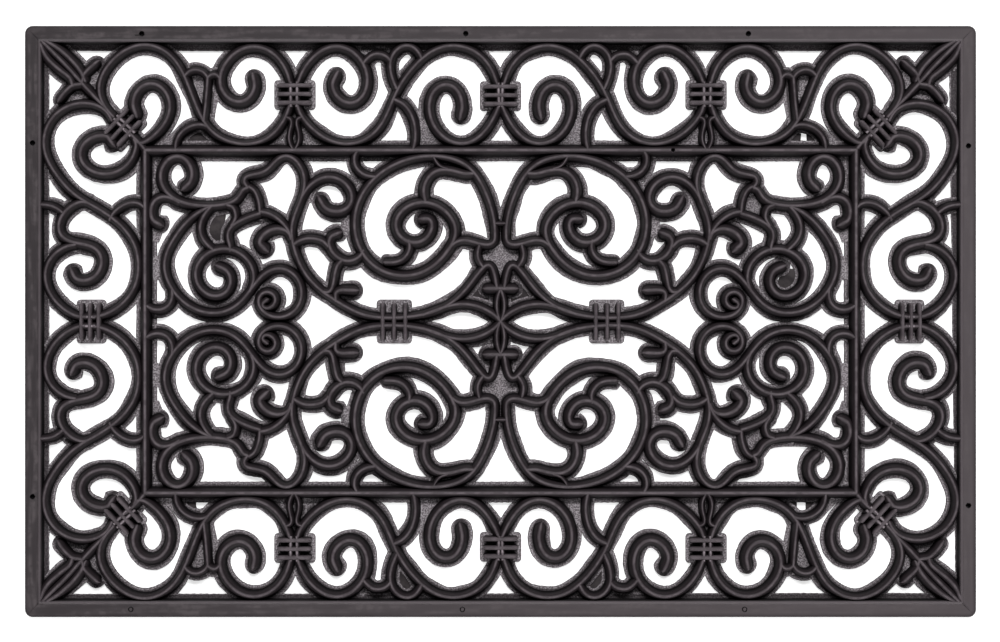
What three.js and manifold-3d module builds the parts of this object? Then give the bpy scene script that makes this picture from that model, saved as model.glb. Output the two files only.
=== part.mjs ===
import * as THREE from "three";
import { mergeVertices } from "three/addons/utils/BufferGeometryUtils.js";
import Module from "manifold-3d";

const wasm = await Module();
wasm.setup();

// Scrollwork doormat of moulded black rubber, lying flat. Millimetres, +Z up, +X along its length.
// Its underside is z = 0, and the middle of the mat is x = 0, y = 0.

// The whole mat.
const MAT_LENGTH = 740;
const MAT_WIDTH = 460;
const WEB_THICKNESS = 1.4; // the thin skin that fills corners and runs along the rim and the rail
const PIECE_GAP = 0.3; // between neighbouring pieces

// The flat outer rim, with a thin bead along its inner edge.
const RIM_WIDTH = 12.3;
const RIM_HEIGHT = 8.4;
const RIM_CORNER_RADIUS = 6;
const RIM_CHAMFER = 0.8;
const RIM_BEAD_WIDTH = 2;
const RIM_BEAD_RISE = 0.6;
const RIM_FLANK_RUN = 2;
const RIM_LEDGE = 3.3;
const RIM_CORNER_STEPS = 4;

// Small blind pits in the rim.
const PIT_DIAMETER = 3.8;
const PIT_DEPTH = 2.4;
const PIT_SIDES = 8;
const RAIL_PIT_DIAMETER = 3;
const RAIL_PIT_DEPTH = 1.6;

// The inner rail, a rectangle of straight bar between the border and the panel.
const END_BAND = 81.2; // from the rail's crest to the rim at the mat's ends
const SIDE_BAND = 84.4; // the same along its long sides
const RAIL_HEIGHT = 9;
const RAIL_CREST_WIDTH = 2.4;
const RAIL_BODY_WIDTH = 9.6;
const RAIL_LEDGE = 3.4;

// The scrolled bars, which rise to a ridge.
const BAR_HEIGHT = 9;
const BAR_HALF_WIDTH = 4.4; // of the body
const BAR_LEDGE = 2.2; // skirt beyond the body, on each side
const BAR_NOSE_REACH_SHARE = 0.7; // of the half-width, beyond the last point of the crest
const BAR_NOSE_SIZE_SHARE = 0.5; // of the section, at the tip

// The ties: three rods across each meeting of bars, on a plate.
const TIE_ROD_WIDTH = 4.2;
const TIE_ROD_SPACING = 6.7;
const TIE_ROD_LENGTH = 27.4;
const TIE_LONG_ROD_LENGTH = 29.4; // where four bars pass, on the mat's long axis
const PANEL_TIE_ROD_SPACING = 8.8;
const TIE_ROD_RISE = 0.8; // over the bars
const TIE_CORE_DROP = 1.6; // from the bars' crest down to the core between the rods
const TIE_CORE_INSET = 4;
const TIE_PLATE_MARGIN = 2.7; // around the rods
const CORNER_TIE_TURN = -47; // degrees
const SIDE_TIE_TURN = 90; // degrees

// How finely curves are cut.
const CURVE_TOLERANCE = 1;
const CURVE_SUBDIVISIONS = 8;
const MAX_STEP_TURN = 46; // degrees, between two stations of a bar
const MAX_PIECE_TURN = 160; // degrees, along one swept length of a bar
const INNER_BEND_SHARE = 0.8; // of the way to the bend's centre, the most a bar's inner foot reaches
const GROWN_BEND_SHARE = 0.98; // the same for the room around a bar
const SLIVER = 0.1;

const halfLength = MAT_LENGTH / 2;
const halfWidth = MAT_WIDTH / 2;
const rimX = halfLength - RIM_WIDTH;
const rimY = halfWidth - RIM_WIDTH;
const railX = rimX - END_BAND;
const railY = rimY - SIDE_BAND;
const tieHeight = BAR_HEIGHT + TIE_ROD_RISE;
const headroom = 2 * tieHeight; // how far a cutting shape stands clear above and below the mat

// Places in a quarter of the pattern are field shares: 0 is the middle of the mat, 1 the crest of the
// rail and 2 the inner edge of the rim, along x and along y. A bar is its half-width at both ends, as
// a share of the common one, and the points of its crest. An end broader than 1 is a free one, with a
// rounded nose. The other three quarters are mirror images.

const borderCentreScrollShares = [
  // the arc out of the middle tie, over to the next tie
  [1, 1, [[0.009, 1.6], [0.022, 1.726], [0.04, 1.811], [0.061, 1.88], [0.084, 1.926], [0.11, 1.953],
    [0.136, 1.965], [0.162, 1.953], [0.188, 1.919], [0.209, 1.875], [0.228, 1.82], [0.246, 1.755],
    [0.265, 1.682], [0.281, 1.61], [0.293, 1.541], [0.303, 1.465], [0.312, 1.392], [0.323, 1.308],
    [0.336, 1.238], [0.351, 1.175], [0.369, 1.123], [0.392, 1.085], [0.415, 1.067], [0.439, 1.062],
    [0.463, 1.072], [0.486, 1.1], [0.51, 1.146], [0.533, 1.208], [0.552, 1.277], [0.564, 1.346],
    [0.572, 1.415]]],
  // the loop against the rim
  [1, 1, [[0.222, 1.845], [0.237, 1.919], [0.251, 1.953], [0.265, 1.965], [0.282, 1.946],
    [0.296, 1.911], [0.307, 1.857], [0.312, 1.795], [0.309, 1.726], [0.3, 1.649], [0.293, 1.572]]],
  // the bridge from the loop to the next scroll
  [1, 1, [[0.31, 1.825], [0.324, 1.868], [0.342, 1.886], [0.359, 1.88], [0.373, 1.849],
    [0.384, 1.811]]],
  // the branch down to the rail
  [1, 1, [[0.298, 1.466], [0.277, 1.43], [0.26, 1.377], [0.249, 1.308], [0.242, 1.231],
    [0.239, 1.153], [0.242, 1.077], [0.246, 1.01]]],
  // the bud between the second tie and the rail
  [0.7, 0.7, [[0.56, 1.305], [0.571, 1.284], [0.575, 1.246], [0.571, 1.2], [0.567, 1.146],
    [0.569, 1.077], [0.578, 1.007]]],
  [0.7, 0.7, [[0.6024, 1.305], [0.5914, 1.284], [0.5874, 1.246], [0.5914, 1.2], [0.5954, 1.146],
    [0.5934, 1.077], [0.5844, 1.007]]],
];

// the curl on the right of the middle tie
const middleCurlShares = [
  [1, 1.3, [[0.004, 1.415], [0.011, 1.361], [0.023, 1.277], [0.037, 1.208], [0.054, 1.146],
    [0.072, 1.1], [0.094, 1.069], [0.115, 1.057], [0.138, 1.077], [0.159, 1.123], [0.178, 1.185],
    [0.192, 1.261], [0.202, 1.338], [0.206, 1.416], [0.206, 1.477], [0.201, 1.535], [0.192, 1.588],
    [0.178, 1.635], [0.162, 1.658], [0.146, 1.658], [0.129, 1.626], [0.115, 1.572], [0.109, 1.503],
    [0.107, 1.426], [0.111, 1.346]]],
];

const borderScrollPairShares = [
  [1, 1.3, [[0.572, 1.6], [0.561, 1.703], [0.547, 1.78], [0.528, 1.849], [0.507, 1.903],
    [0.484, 1.945], [0.463, 1.961], [0.439, 1.945], [0.416, 1.903], [0.397, 1.842], [0.385, 1.78],
    [0.377, 1.703], [0.376, 1.634], [0.38, 1.557], [0.39, 1.495], [0.404, 1.449], [0.423, 1.434],
    [0.441, 1.449], [0.458, 1.488], [0.47, 1.549], [0.471, 1.618], [0.465, 1.68]]],
  [1, 1.3, [[0.591, 1.6], [0.599, 1.703], [0.613, 1.788], [0.629, 1.849], [0.648, 1.903],
    [0.669, 1.942], [0.697, 1.961], [0.723, 1.942], [0.742, 1.903], [0.761, 1.849], [0.775, 1.788],
    [0.785, 1.726], [0.788, 1.665], [0.788, 1.603], [0.782, 1.541], [0.77, 1.495], [0.754, 1.457],
    [0.735, 1.441], [0.719, 1.461], [0.705, 1.495], [0.696, 1.549], [0.694, 1.603], [0.695, 1.657]]],
];

const cornerTopSweepShares = [
  [1, 1, [[0.593, 1.415], [0.6, 1.338], [0.613, 1.261], [0.629, 1.192], [0.648, 1.138],
    [0.667, 1.092], [0.693, 1.061], [0.724, 1.052], [0.754, 1.069], [0.777, 1.107], [0.801, 1.154],
    [0.82, 1.2], [0.834, 1.256], [0.848, 1.346], [0.861, 1.45], [0.873, 1.557], [0.886, 1.649],
    [0.897, 1.726], [0.909, 1.795], [0.923, 1.849], [0.942, 1.911], [0.963, 1.945], [0.987, 1.965],
    [1.01, 1.965], [1.082, 1.961], [1.17, 1.934], [1.25, 1.888], [1.314, 1.826], [1.37, 1.757],
    [1.41, 1.688], [1.434, 1.618], [1.44, 1.549], [1.428, 1.48], [1.4, 1.42], [1.346, 1.36],
    [1.306, 1.31]]],
  // the upright on its inner side, with a knuckle and a small arch at its top
  [0.9, 0.9, [[0.824, 1.665], [0.826, 1.572], [0.828, 1.495], [0.831, 1.388], [0.833, 1.338],
    [0.835, 1.269]]],
  [0.9, 0.9, [[0.79, 1.66], [0.8, 1.695], [0.81, 1.699], [0.824, 1.67]]],
  [0.9, 0.9, [[0.824, 1.67], [0.834, 1.711], [0.846, 1.734], [0.86, 1.742], [0.876, 1.726],
    [0.89, 1.68]]],
  // the arch down to the rail
  [0.9, 0.9, [[0.825, 1.218], [0.84, 1.234], [0.855, 1.234], [0.871, 1.223], [0.888, 1.192],
    [0.902, 1.146], [0.912, 1.092], [0.915, 1.01]]],
];

const cornerCurlsShares = [
  [1, 1.3, [[1.1, 1.105], [1.066, 1.073], [1.03, 1.066], [1.002, 1.084], [0.982, 1.123],
    [0.963, 1.177], [0.947, 1.238], [0.935, 1.315], [0.93, 1.392], [0.933, 1.465], [0.941, 1.541],
    [0.954, 1.603], [0.973, 1.642], [0.989, 1.649], [1.03, 1.626], [1.07, 1.59], [1.1, 1.54],
    [1.118, 1.475], [1.118, 1.407], [1.095, 1.345]]],
  [1, 1.3, [[1.105, 1.1], [1.09, 1.06], [1.094, 1.015], [1.114, 0.971], [1.154, 0.932],
    [1.21, 0.897], [1.29, 0.868], [1.378, 0.861], [1.466, 0.87], [1.546, 0.892], [1.602, 0.927],
    [1.626, 0.971], [1.61, 1.023], [1.562, 1.084], [1.498, 1.123], [1.426, 1.134], [1.362, 1.115],
    [1.33, 1.085]]],
  // the stem from the rail's corner to the corner tie
  [1, 1, [[1, 1], [1.066, 1.077], [1.19, 1.19]]],
];

const cornerLeafShares = [
  // three ridges of the leaf, the middle one running on as its stem
  [1, 1, [[1.932, 1.997], [1.857, 1.946], [1.761, 1.884], [1.697, 1.823], [1.649, 1.761],
    [1.611, 1.71], [1.59, 1.67]]],
  [1, 1, [[1.98, 1.997], [1.91, 1.925], [1.846, 1.863], [1.761, 1.791], [1.697, 1.72],
    [1.644, 1.658], [1.611, 1.618], [1.51, 1.52], [1.36, 1.37]]],
  [1, 1, [[1.995, 1.956], [1.953, 1.873], [1.899, 1.807], [1.836, 1.751], [1.761, 1.699],
    [1.718, 1.658], [1.702, 1.618]]],
  // two short petals
  [1, 1.1, [[1.611, 1.618], [1.596, 1.658], [1.59, 1.689], [1.569, 1.72], [1.515, 1.771],
    [1.484, 1.797]]],
  [1, 1.1, [[1.611, 1.612], [1.655, 1.605], [1.697, 1.597], [1.74, 1.566], [1.782, 1.525],
    [1.814, 1.484]]],
];

const sideScrollShares = [
  [1, 1, [[1.32, 1.275], [1.37, 1.346], [1.442, 1.408], [1.538, 1.434], [1.634, 1.43],
    [1.73, 1.408], [1.81, 1.369], [1.874, 1.315], [1.922, 1.246], [1.954, 1.169], [1.97, 1.092],
    [1.966, 1.015], [1.946, 0.961], [1.914, 0.917], [1.866, 0.873], [1.81, 0.829], [1.754, 0.788],
    [1.698, 0.751], [1.634, 0.72], [1.554, 0.693], [1.474, 0.668], [1.394, 0.639], [1.314, 0.602],
    [1.234, 0.563], [1.17, 0.519], [1.126, 0.475], [1.104, 0.44], [1.085, 0.41], [1.071, 0.371],
    [1.066, 0.322], [1.071, 0.273], [1.088, 0.2244], [1.122, 0.1756], [1.182, 0.1268],
    [1.258, 0.0877], [1.338, 0.0584], [1.41, 0.0389], [1.5, 0.027]]],
  // the arm on the rim's side of the tie
  [1, 1, [[1.57, 0.027], [1.634, 0.027], [1.698, 0.044], [1.762, 0.066], [1.826, 0.0975],
    [1.874, 0.132], [1.914, 0.1756], [1.946, 0.2195], [1.958, 0.2635], [1.946, 0.317],
    [1.914, 0.361], [1.866, 0.395], [1.802, 0.422], [1.738, 0.439], [1.674, 0.449]]],
  // the spiral
  [1, 1.3, [[1.55, 0.692], [1.6, 0.6975], [1.65, 0.69], [1.714, 0.671], [1.77, 0.6415],
    [1.806, 0.607], [1.826, 0.568], [1.822, 0.529], [1.794, 0.495], [1.746, 0.4706], [1.682, 0.458],
    [1.602, 0.456], [1.538, 0.4487], [1.482, 0.429], [1.442, 0.397], [1.426, 0.371],
    [1.422, 0.3416], [1.434, 0.307], [1.466, 0.273], [1.514, 0.249], [1.57, 0.24], [1.626, 0.244],
    [1.674, 0.2586], [1.695, 0.28]]],
  // the branch to the rim and the arch to the rail
  [0.9, 0.9, [[1.794, 0.637], [1.842, 0.659], [1.906, 0.676], [1.994, 0.683]]],
  [0.9, 0.9, [[1, 0.6586], [1.042, 0.6806], [1.098, 0.693], [1.154, 0.693], [1.21, 0.6806],
    [1.266, 0.656], [1.314, 0.622], [1.338, 0.5976]]],
];

const medallionShares = [
  // the ring, coiling in to its boss
  [1, 1.25, [[0.0157, 0.5], [0.0165, 0.5487], [0.0193, 0.5976], [0.024, 0.6464], [0.031, 0.695],
    [0.0404, 0.744], [0.052, 0.793], [0.065, 0.837], [0.079, 0.881], [0.0957, 0.912],
    [0.1168, 0.9366], [0.1426, 0.9537], [0.1709, 0.963], [0.1944, 0.965], [0.2179, 0.9625],
    [0.2414, 0.9557], [0.2649, 0.943], [0.2884, 0.9244], [0.3119, 0.9], [0.34, 0.866],
    [0.3565, 0.832], [0.373, 0.788], [0.3894, 0.739], [0.4024, 0.6854], [0.4094, 0.632],
    [0.411, 0.578], [0.4094, 0.529], [0.404, 0.48], [0.3965, 0.4364], [0.387, 0.397],
    [0.3753, 0.361], [0.3565, 0.327], [0.3354, 0.3], [0.3166, 0.283], [0.2884, 0.271],
    [0.26, 0.269], [0.232, 0.279], [0.206, 0.3], [0.1826, 0.334], [0.1614, 0.381], [0.145, 0.4295],
    [0.1356, 0.4637], [0.128, 0.5], [0.1267, 0.539], [0.132, 0.578], [0.1427, 0.617],
    [0.159, 0.651], [0.18, 0.678], [0.2038, 0.6928], [0.227, 0.695], [0.2508, 0.683],
    [0.272, 0.656], [0.288, 0.617], [0.294, 0.578], [0.2926, 0.539], [0.2837, 0.505],
    [0.267, 0.4755], [0.246, 0.4585], [0.225, 0.466], [0.206, 0.49], [0.1955, 0.529],
    [0.1944, 0.568], [0.2014, 0.5976], [0.2155, 0.6]]],
  // the spur inside the ring
  [1, 1, [[0.258, 0.47], [0.256, 0.43], [0.262, 0.395], [0.275, 0.365], [0.295, 0.348],
    [0.325, 0.345]]],
  // the ring's foot, its stem, and the wave across its top
  [1, 1, [[0.0157, 0.5], [0.0181, 0.4756], [0.0263, 0.4536], [0.0416, 0.4438], [0.058, 0.4487],
    [0.0722, 0.4658], [0.0886, 0.478], [0.105, 0.4756], [0.119, 0.4625],
    [0.132, 0.452], [0.145, 0.4295], [0.1614, 0.381]]],
  [0.9, 0.9, [[0.0604, 0.439], [0.0639, 0.41], [0.0634, 0.371], [0.055, 0.335], [0.048, 0.316]]],
  [1.1, 1.2, [[0.082, 0.864], [0.1, 0.862], [0.119, 0.868], [0.142, 0.882], [0.163, 0.889],
    [0.183, 0.88], [0.2, 0.85], [0.212, 0.805], [0.2155, 0.76], [0.2125, 0.71]]],
  // the fine vein behind the wave
  [0.6, 0.6, [[0.15, 0.893], [0.168, 0.905], [0.18, 0.93], [0.187, 0.955]]],
  // the spindle on the short axis: a knot, a stud and a bowed bar
  [0.6, 0.6, [[-0.005, 0.573], [0.013, 0.573]]],
  [1.2, 1.2, [[-0.01, 0.193], [0.034, 0.193]]],
  [0.8, 0.8, [[0, 0.19], [0.006, 0.16], [0.01, 0.12], [0.0107, 0.09], [0.0095, 0.06], [0.006, 0.03],
    [0.001, 0.002]]],
  // the arch and the lens beside the spindle
  [1, 1, [[0.0107, 0.2], [0.0157, 0.2537], [0.0193, 0.288], [0.0228, 0.3123], [0.0322, 0.3294],
    [0.0416, 0.327], [0.051, 0.3123], [0.0627, 0.283], [0.0768, 0.239], [0.0933, 0.195],
    [0.1145, 0.151], [0.1356, 0.117], [0.1567, 0.09], [0.1826, 0.063], [0.2179, 0.04],
    [0.26, 0.027], [0.3, 0.022]]],
  [1, 1, [[0, 0], [0.011, 0.0224], [0.0251, 0.0493], [0.044, 0.0737], [0.065, 0.0908],
    [0.0886, 0.1006], [0.112, 0.1006], [0.1356, 0.0957], [0.159, 0.0835], [0.1826, 0.0664],
    [0.2179, 0.0395]]],
  // the hook up to the rail
  [1, 1, [[0.402, 1], [0.4087, 0.975], [0.4118, 0.941], [0.4087, 0.907], [0.4, 0.88],
    [0.387, 0.863], [0.373, 0.855], [0.355, 0.845]]],
  // the pearl on the ring's outer side
  [1, 1.2, [[0.388, 0.41], [0.394, 0.395], [0.402, 0.376], [0.415, 0.356], [0.432, 0.351],
    [0.448, 0.361], [0.4646, 0.383], [0.4764, 0.415], [0.483, 0.454], [0.481, 0.47],
    [0.474, 0.495], [0.462, 0.512]]],
  [1, 1, [[0.448, 0.354], [0.4576, 0.327], [0.4646, 0.298], [0.469, 0.2586], [0.4705, 0.2196],
    [0.475, 0.19], [0.486, 0.173], [0.4987, 0.173]]],
  [1.2, 1, [[0.417, 0.183], [0.432, 0.184], [0.4505, 0.183], [0.462, 0.171], [0.4646, 0.1414],
    [0.4635, 0.122]]],
  // the arch from the pearl to the next sweep
  [1, 1, [[0.4858, 0.441], [0.5, 0.468], [0.521, 0.483], [0.5445, 0.485], [0.568, 0.47],
    [0.583, 0.449]]],
];

const panelSweepShares = [
  [1, 1, [[0.3, 0.022], [0.3448, 0.0266], [0.368, 0.0325], [0.392, 0.0447], [0.4153, 0.0657],
    [0.4388, 0.0916], [0.462, 0.1194], [0.4858, 0.1512], [0.507, 0.1854], [0.5257, 0.222],
    [0.542, 0.2586], [0.556, 0.3], [0.5669, 0.3465], [0.575, 0.3953], [0.581, 0.439],
    [0.5875, 0.49], [0.588, 0.529], [0.5857, 0.568], [0.581, 0.612], [0.5739, 0.656],
    [0.5657, 0.695], [0.5575, 0.734], [0.5528, 0.773], [0.551, 0.817], [0.554, 0.85],
    [0.5595, 0.88], [0.5655, 0.908], [0.574, 0.935], [0.5845, 0.9534], [0.5986, 0.966],
    [0.6127, 0.966], [0.6268, 0.9534], [0.6385, 0.929], [0.648, 0.902], [0.658, 0.877],
    [0.6724, 0.8626], [0.69, 0.866], [0.706, 0.86], [0.7185, 0.842], [0.7215, 0.813],
    [0.712, 0.7845]]],
  // the curl on its inner side
  [1, 1.3, [[0.5575, 0.734], [0.542, 0.778], [0.5257, 0.812], [0.507, 0.834], [0.4858, 0.844],
    [0.4646, 0.839], [0.4458, 0.82], [0.4294, 0.788], [0.42, 0.749], [0.4188, 0.71],
    [0.4259, 0.676], [0.441, 0.651], [0.46, 0.6415], [0.4787, 0.649], [0.495, 0.671],
    [0.5057, 0.7]]],
  // the leaf's stay, rib and curl
  [1, 1, [[0.59, 0.5], [0.6, 0.539], [0.6126, 0.573], [0.6268, 0.6], [0.6432, 0.622],
    [0.6597, 0.6365], [0.6763, 0.641]]],
  [0.9, 0.9, [[0.6774, 0.641], [0.68, 0.695], [0.6857, 0.734], [0.695, 0.768], [0.7068, 0.7855]]],
  [1, 1.5, [[0.59, 0.485], [0.5974, 0.512], [0.61, 0.534], [0.629, 0.544], [0.648, 0.5365],
    [0.6644, 0.5145], [0.675, 0.48], [0.676, 0.455], [0.67, 0.437]]],
];

const panelVoluteShares = [
  // the leaf's edge, with the hook into the rail's corner
  [1, 1.3, [[0.7127, 0.781], [0.723, 0.773], [0.7327, 0.754], [0.7397, 0.7245], [0.7468, 0.705],
    [0.7656, 0.688], [0.789, 0.683], [0.824, 0.678], [0.8596, 0.678], [0.885, 0.688],
    [0.911, 0.71], [0.93, 0.739], [0.9465, 0.778], [0.9547, 0.817], [0.957, 0.8583],
    [0.951, 0.897], [0.9407, 0.931], [0.925, 0.958], [0.91, 0.9657], [0.895, 0.958],
    [0.8807, 0.9338], [0.8713, 0.897], [0.868, 0.865], [0.87, 0.8417], [0.877, 0.8124],
    [0.8854, 0.79]]],
  [1, 1.3, [[0.906, 0.697], [0.925, 0.712], [0.94, 0.727], [0.957, 0.727], [0.971, 0.712],
    [0.98, 0.683], [0.984, 0.649], [0.982, 0.615], [0.975, 0.588], [0.966, 0.575]]],
  // the volute and the tight spiral inside it
  [1, 1, [[0.815, 0.672], [0.8337, 0.651], [0.855, 0.632], [0.8737, 0.602], [0.89, 0.568],
    [0.904, 0.529], [0.917, 0.485], [0.928, 0.441], [0.943, 0.4], [0.946, 0.351],
    [0.9447, 0.3025], [0.9395, 0.2586], [0.93, 0.2147], [0.917, 0.171], [0.902, 0.1316],
    [0.883, 0.0999], [0.862, 0.0755], [0.8384, 0.0584], [0.815, 0.0511], [0.791, 0.0535],
    [0.768, 0.0657], [0.7468, 0.0877], [0.728, 0.1219], [0.7127, 0.161], [0.6998, 0.2],
    [0.6857, 0.2366], [0.669, 0.268], [0.655, 0.29], [0.6385, 0.305], [0.6197, 0.31],
    [0.601, 0.3025], [0.5845, 0.2806], [0.5716, 0.249], [0.563, 0.21], [0.561, 0.166],
    [0.563, 0.1268], [0.5727, 0.0877], [0.5868, 0.056], [0.6056, 0.034], [0.6268, 0.0266],
    [0.652, 0.034], [0.672, 0.062], [0.684, 0.105], [0.68, 0.146], [0.667, 0.171], [0.652, 0.176],
    [0.637, 0.161], [0.631, 0.127], [0.637, 0.09], [0.652, 0.07], [0.668, 0.085], [0.669, 0.115],
    [0.658, 0.125]]],
  [1, 1.2, [[0.705, 0.18], [0.6965, 0.239], [0.6965, 0.283], [0.703, 0.332], [0.7186, 0.373],
    [0.7397, 0.405], [0.763, 0.422], [0.7867, 0.4246], [0.81, 0.4124], [0.8314, 0.3855],
    [0.848, 0.349], [0.8568, 0.307], [0.857, 0.2635], [0.851, 0.2196], [0.8396, 0.183],
    [0.822, 0.156], [0.801, 0.1487], [0.782, 0.1585], [0.7667, 0.185], [0.7597, 0.224],
    [0.762, 0.2635], [0.7726, 0.295], [0.79, 0.318]]],
  // the bars that tie the leaf to the spiral
  [1, 1, [[0.6786, 0.63], [0.695, 0.62], [0.7186, 0.601], [0.7397, 0.578], [0.7574, 0.5535],
    [0.767, 0.529], [0.768, 0.5], [0.763, 0.466], [0.7597, 0.437], [0.761, 0.417]]],
  [1, 1, [[0.768, 0.68], [0.7538, 0.666], [0.7468, 0.637], [0.7456, 0.607], [0.7515, 0.578],
    [0.757, 0.56]]],
  [1, 1, [[0.812, 0.676], [0.822, 0.656], [0.8337, 0.622], [0.843, 0.583], [0.8455, 0.549],
    [0.842, 0.505], [0.8314, 0.466], [0.81, 0.42]]],
  // the foot on the rail
  [1, 1, [[0.924, 0.19], [0.925, 0.1365], [0.9336, 0.0999], [0.9477, 0.0755], [0.965, 0.068],
    [0.984, 0.078], [1, 0.0975]]],
];

// Corners left filled by the web, each an outline in field shares.
const borderCentreFillShares = [
  [[0.16, 1.06], [0.19, 1.2], [0.205, 1.33], [0.235, 1.25], [0.24, 1.05]],
  [[0.33, 1.88], [0.36, 1.97], [0.4, 1.94], [0.4, 1.87], [0.375, 1.84]],
  [[0.475, 1.05], [0.51, 1.12], [0.545, 1.23], [0.575, 1.2], [0.575, 1.05]],
];
const cornerTopFillShares = [
  [[0.829, 1.69], [0.85, 1.72], [0.885, 1.66], [0.866, 1.5], [0.85, 1.36], [0.837, 1.3], [0.829, 1.5]],
  [[0.8, 1.04], [0.812, 1.16], [0.84, 1.22], [0.87, 1.21], [0.895, 1.15], [0.912, 1.04]],
];
const cornerCurlFillShares = [[[0.92, 1.2], [0.925, 1.04], [1, 1.04], [0.99, 1.1], [0.955, 1.22]]];
const cornerLeafFillShares = [
  [[1.37, 1.45], [1.42, 1.62], [1.47, 1.74], [1.56, 1.73], [1.6, 1.64], [1.5, 1.52]],
  [[1.58, 1.5], [1.64, 1.58], [1.72, 1.56], [1.76, 1.5], [1.7, 1.44]],
];
const medallionFillShares = [
  [[-0.01, 0.48], [0.03, 0.44], [0.052, 0.41], [0.052, 0.36], [0.02, 0.29], [-0.01, 0.26]],
  [[0.075, 0.86], [0.13, 0.87], [0.19, 0.88], [0.2, 0.96], [0.13, 0.95], [0.09, 0.91]],
  [[0.01, 0.1], [0.02, 0.26], [0.05, 0.24], [0.075, 0.18], [0.1, 0.12], [0.06, 0.1]],
  [[0.405, 0.62], [0.438, 0.6], [0.452, 0.52], [0.43, 0.47], [0.4, 0.48]],
];
const panelSweepFillShares = [[[0.69, 0.66], [0.705, 0.78], [0.745, 0.65], [0.72, 0.62]]];
const panelVoluteFillShares = [[[0.94, 0.4], [0.93, 0.5], [0.955, 0.56], [0.98, 0.56], [0.98, 0.4]]];

// Tie centres in field shares, and the pits in shares of the mat's half-length and half-width.
const middleTieShares = [0, 1.507];
const secondTieShares = [0.581, 1.518];
const cornerTieShares = [1.22, 1.21];
const panelTieShares = [0.3, 0];
const sideTieShares = [1.53, 0];
const longSidePitShares = [
  [-0.754, 1],
  [-0.073, 1],
  [0.521, 1],
  [-0.777, -1],
  [-0.08, -1],
  [0.513, -1],
];
const endPitShares = [
  [-1, 0.604],
  [-1, -0.592],
  [1, 0.594],
  [1, -0.622],
];
const railPitShare = 0.485; // of the top rail's half-length

// A closed geometry as a solid that can be joined and cut.
function solidOf(geometry) {
  const bare = new THREE.BufferGeometry();
  bare.setAttribute("position", geometry.getAttribute("position"));
  bare.setIndex(geometry.getIndex());
  const merged = mergeVertices(bare);
  const corners = Array.from(merged.index.array);
  const triangles = [];
  for (let i = 0; i < corners.length; i += 3) {
    const [a, b, c] = corners.slice(i, i + 3);
    if (a !== b && b !== c && c !== a) triangles.push(a, b, c);
  }
  return new wasm.Manifold(
    new wasm.Mesh({
      numProp: 3,
      vertProperties: merged.attributes.position.array,
      triVerts: new Uint32Array(triangles),
    }),
  );
}

function geometryOf(solid) {
  const made = solid.getMesh();
  const geometry = new THREE.BufferGeometry();
  geometry.setAttribute("position", new THREE.BufferAttribute(made.vertProperties, made.numProp));
  geometry.setIndex(new THREE.BufferAttribute(made.triVerts, 1));
  return geometry;
}

// A piece cut by its neighbours: slivers smoothed out, and what stuck out past a neighbour trimmed off.
function trimmed(solid) {
  const bodies = solid.asOriginal().simplify(SLIVER).decompose();
  bodies.sort((a, b) => b.volume() - a.volume());
  return bodies[0];
}

function box(sizeX, sizeY, low, high) {
  const geometry = new THREE.BoxGeometry(sizeX, sizeY, high - low);
  return geometry.translate(0, 0, (low + high) / 2);
}

function fieldPlace(share, rail, rim) {
  const size = Math.abs(share);
  const reach = size <= 1 ? size * rail : rail + (size - 1) * (rim - rail);
  return Math.sign(share) * reach;
}

function fieldPoint([shareX, shareY]) {
  return new THREE.Vector3(fieldPlace(shareX, railX, rimX), fieldPlace(shareY, railY, rimY), 0);
}

// Closed strip of surface through rings of points that all have the same count, with flat ends.
function skin(rings, closed) {
  const count = rings[0].length;
  const positions = rings.flat(2);
  const index = [];
  const joins = closed ? rings.length : rings.length - 1;
  for (let r = 0; r < joins; r++) {
    const here = r * count;
    const next = ((r + 1) % rings.length) * count;
    for (let p = 0; p < count; p++) {
      const q = (p + 1) % count;
      index.push(here + p, next + q, next + p, here + p, here + q, next + q);
    }
  }
  if (!closed) {
    const last = (rings.length - 1) * count;
    for (let p = 1; p < count - 1; p++) {
      index.push(0, p + 1, p);
      index.push(last, last + p, last + p + 1);
    }
  }
  const geometry = new THREE.BufferGeometry();
  geometry.setAttribute("position", new THREE.Float32BufferAttribute(positions, 3));
  geometry.setIndex(index);
  return geometry;
}

// A rectangular frame: a profile of [depth inward from the outer edge, height] points, run round it.
function frameSolid(outerX, outerY, profile, cornerRadius, cornerSteps) {
  const rings = [];
  for (const [signX, signY, start] of [[1, 1, 0], [-1, 1, 1], [-1, -1, 2], [1, -1, 3]]) {
    for (let step = 0; step <= cornerSteps; step++) {
      const angle = ((start + step / cornerSteps) * Math.PI) / 2;
      rings.push(
        profile.map(([depth, height]) => {
          const radius = Math.max(cornerRadius - depth, 0);
          const inset = Math.max(cornerRadius, depth);
          return [
            signX * (outerX - inset) + radius * Math.cos(angle),
            signY * (outerY - inset) + radius * Math.sin(angle),
            height,
          ];
        }),
      );
    }
  }
  return solidOf(skin(rings, true));
}

// The frame cut through its mitred corners, as its four sides by name.
function frameSides(frame, outerX, outerY, depth) {
  let cut = frame;
  for (const signX of [1, -1]) {
    for (const signY of [1, -1]) {
      const slit = box(2 * Math.SQRT2 * depth, PIECE_GAP, -headroom, headroom);
      slit.rotateZ((signX * signY * Math.PI) / 4);
      slit.translate(signX * (outerX - depth / 2), signY * (outerY - depth / 2), 0);
      cut = cut.subtract(solidOf(slit));
    }
  }
  const sides = {};
  for (const body of cut.decompose()) {
    const bounds = body.boundingBox();
    const x = bounds.min[0] + bounds.max[0];
    const y = bounds.min[1] + bounds.max[1];
    const side = Math.abs(x) > Math.abs(y) ? (x > 0 ? "right" : "left") : y > 0 ? "top" : "bottom";
    sides[side] = body;
  }
  return sides;
}

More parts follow.
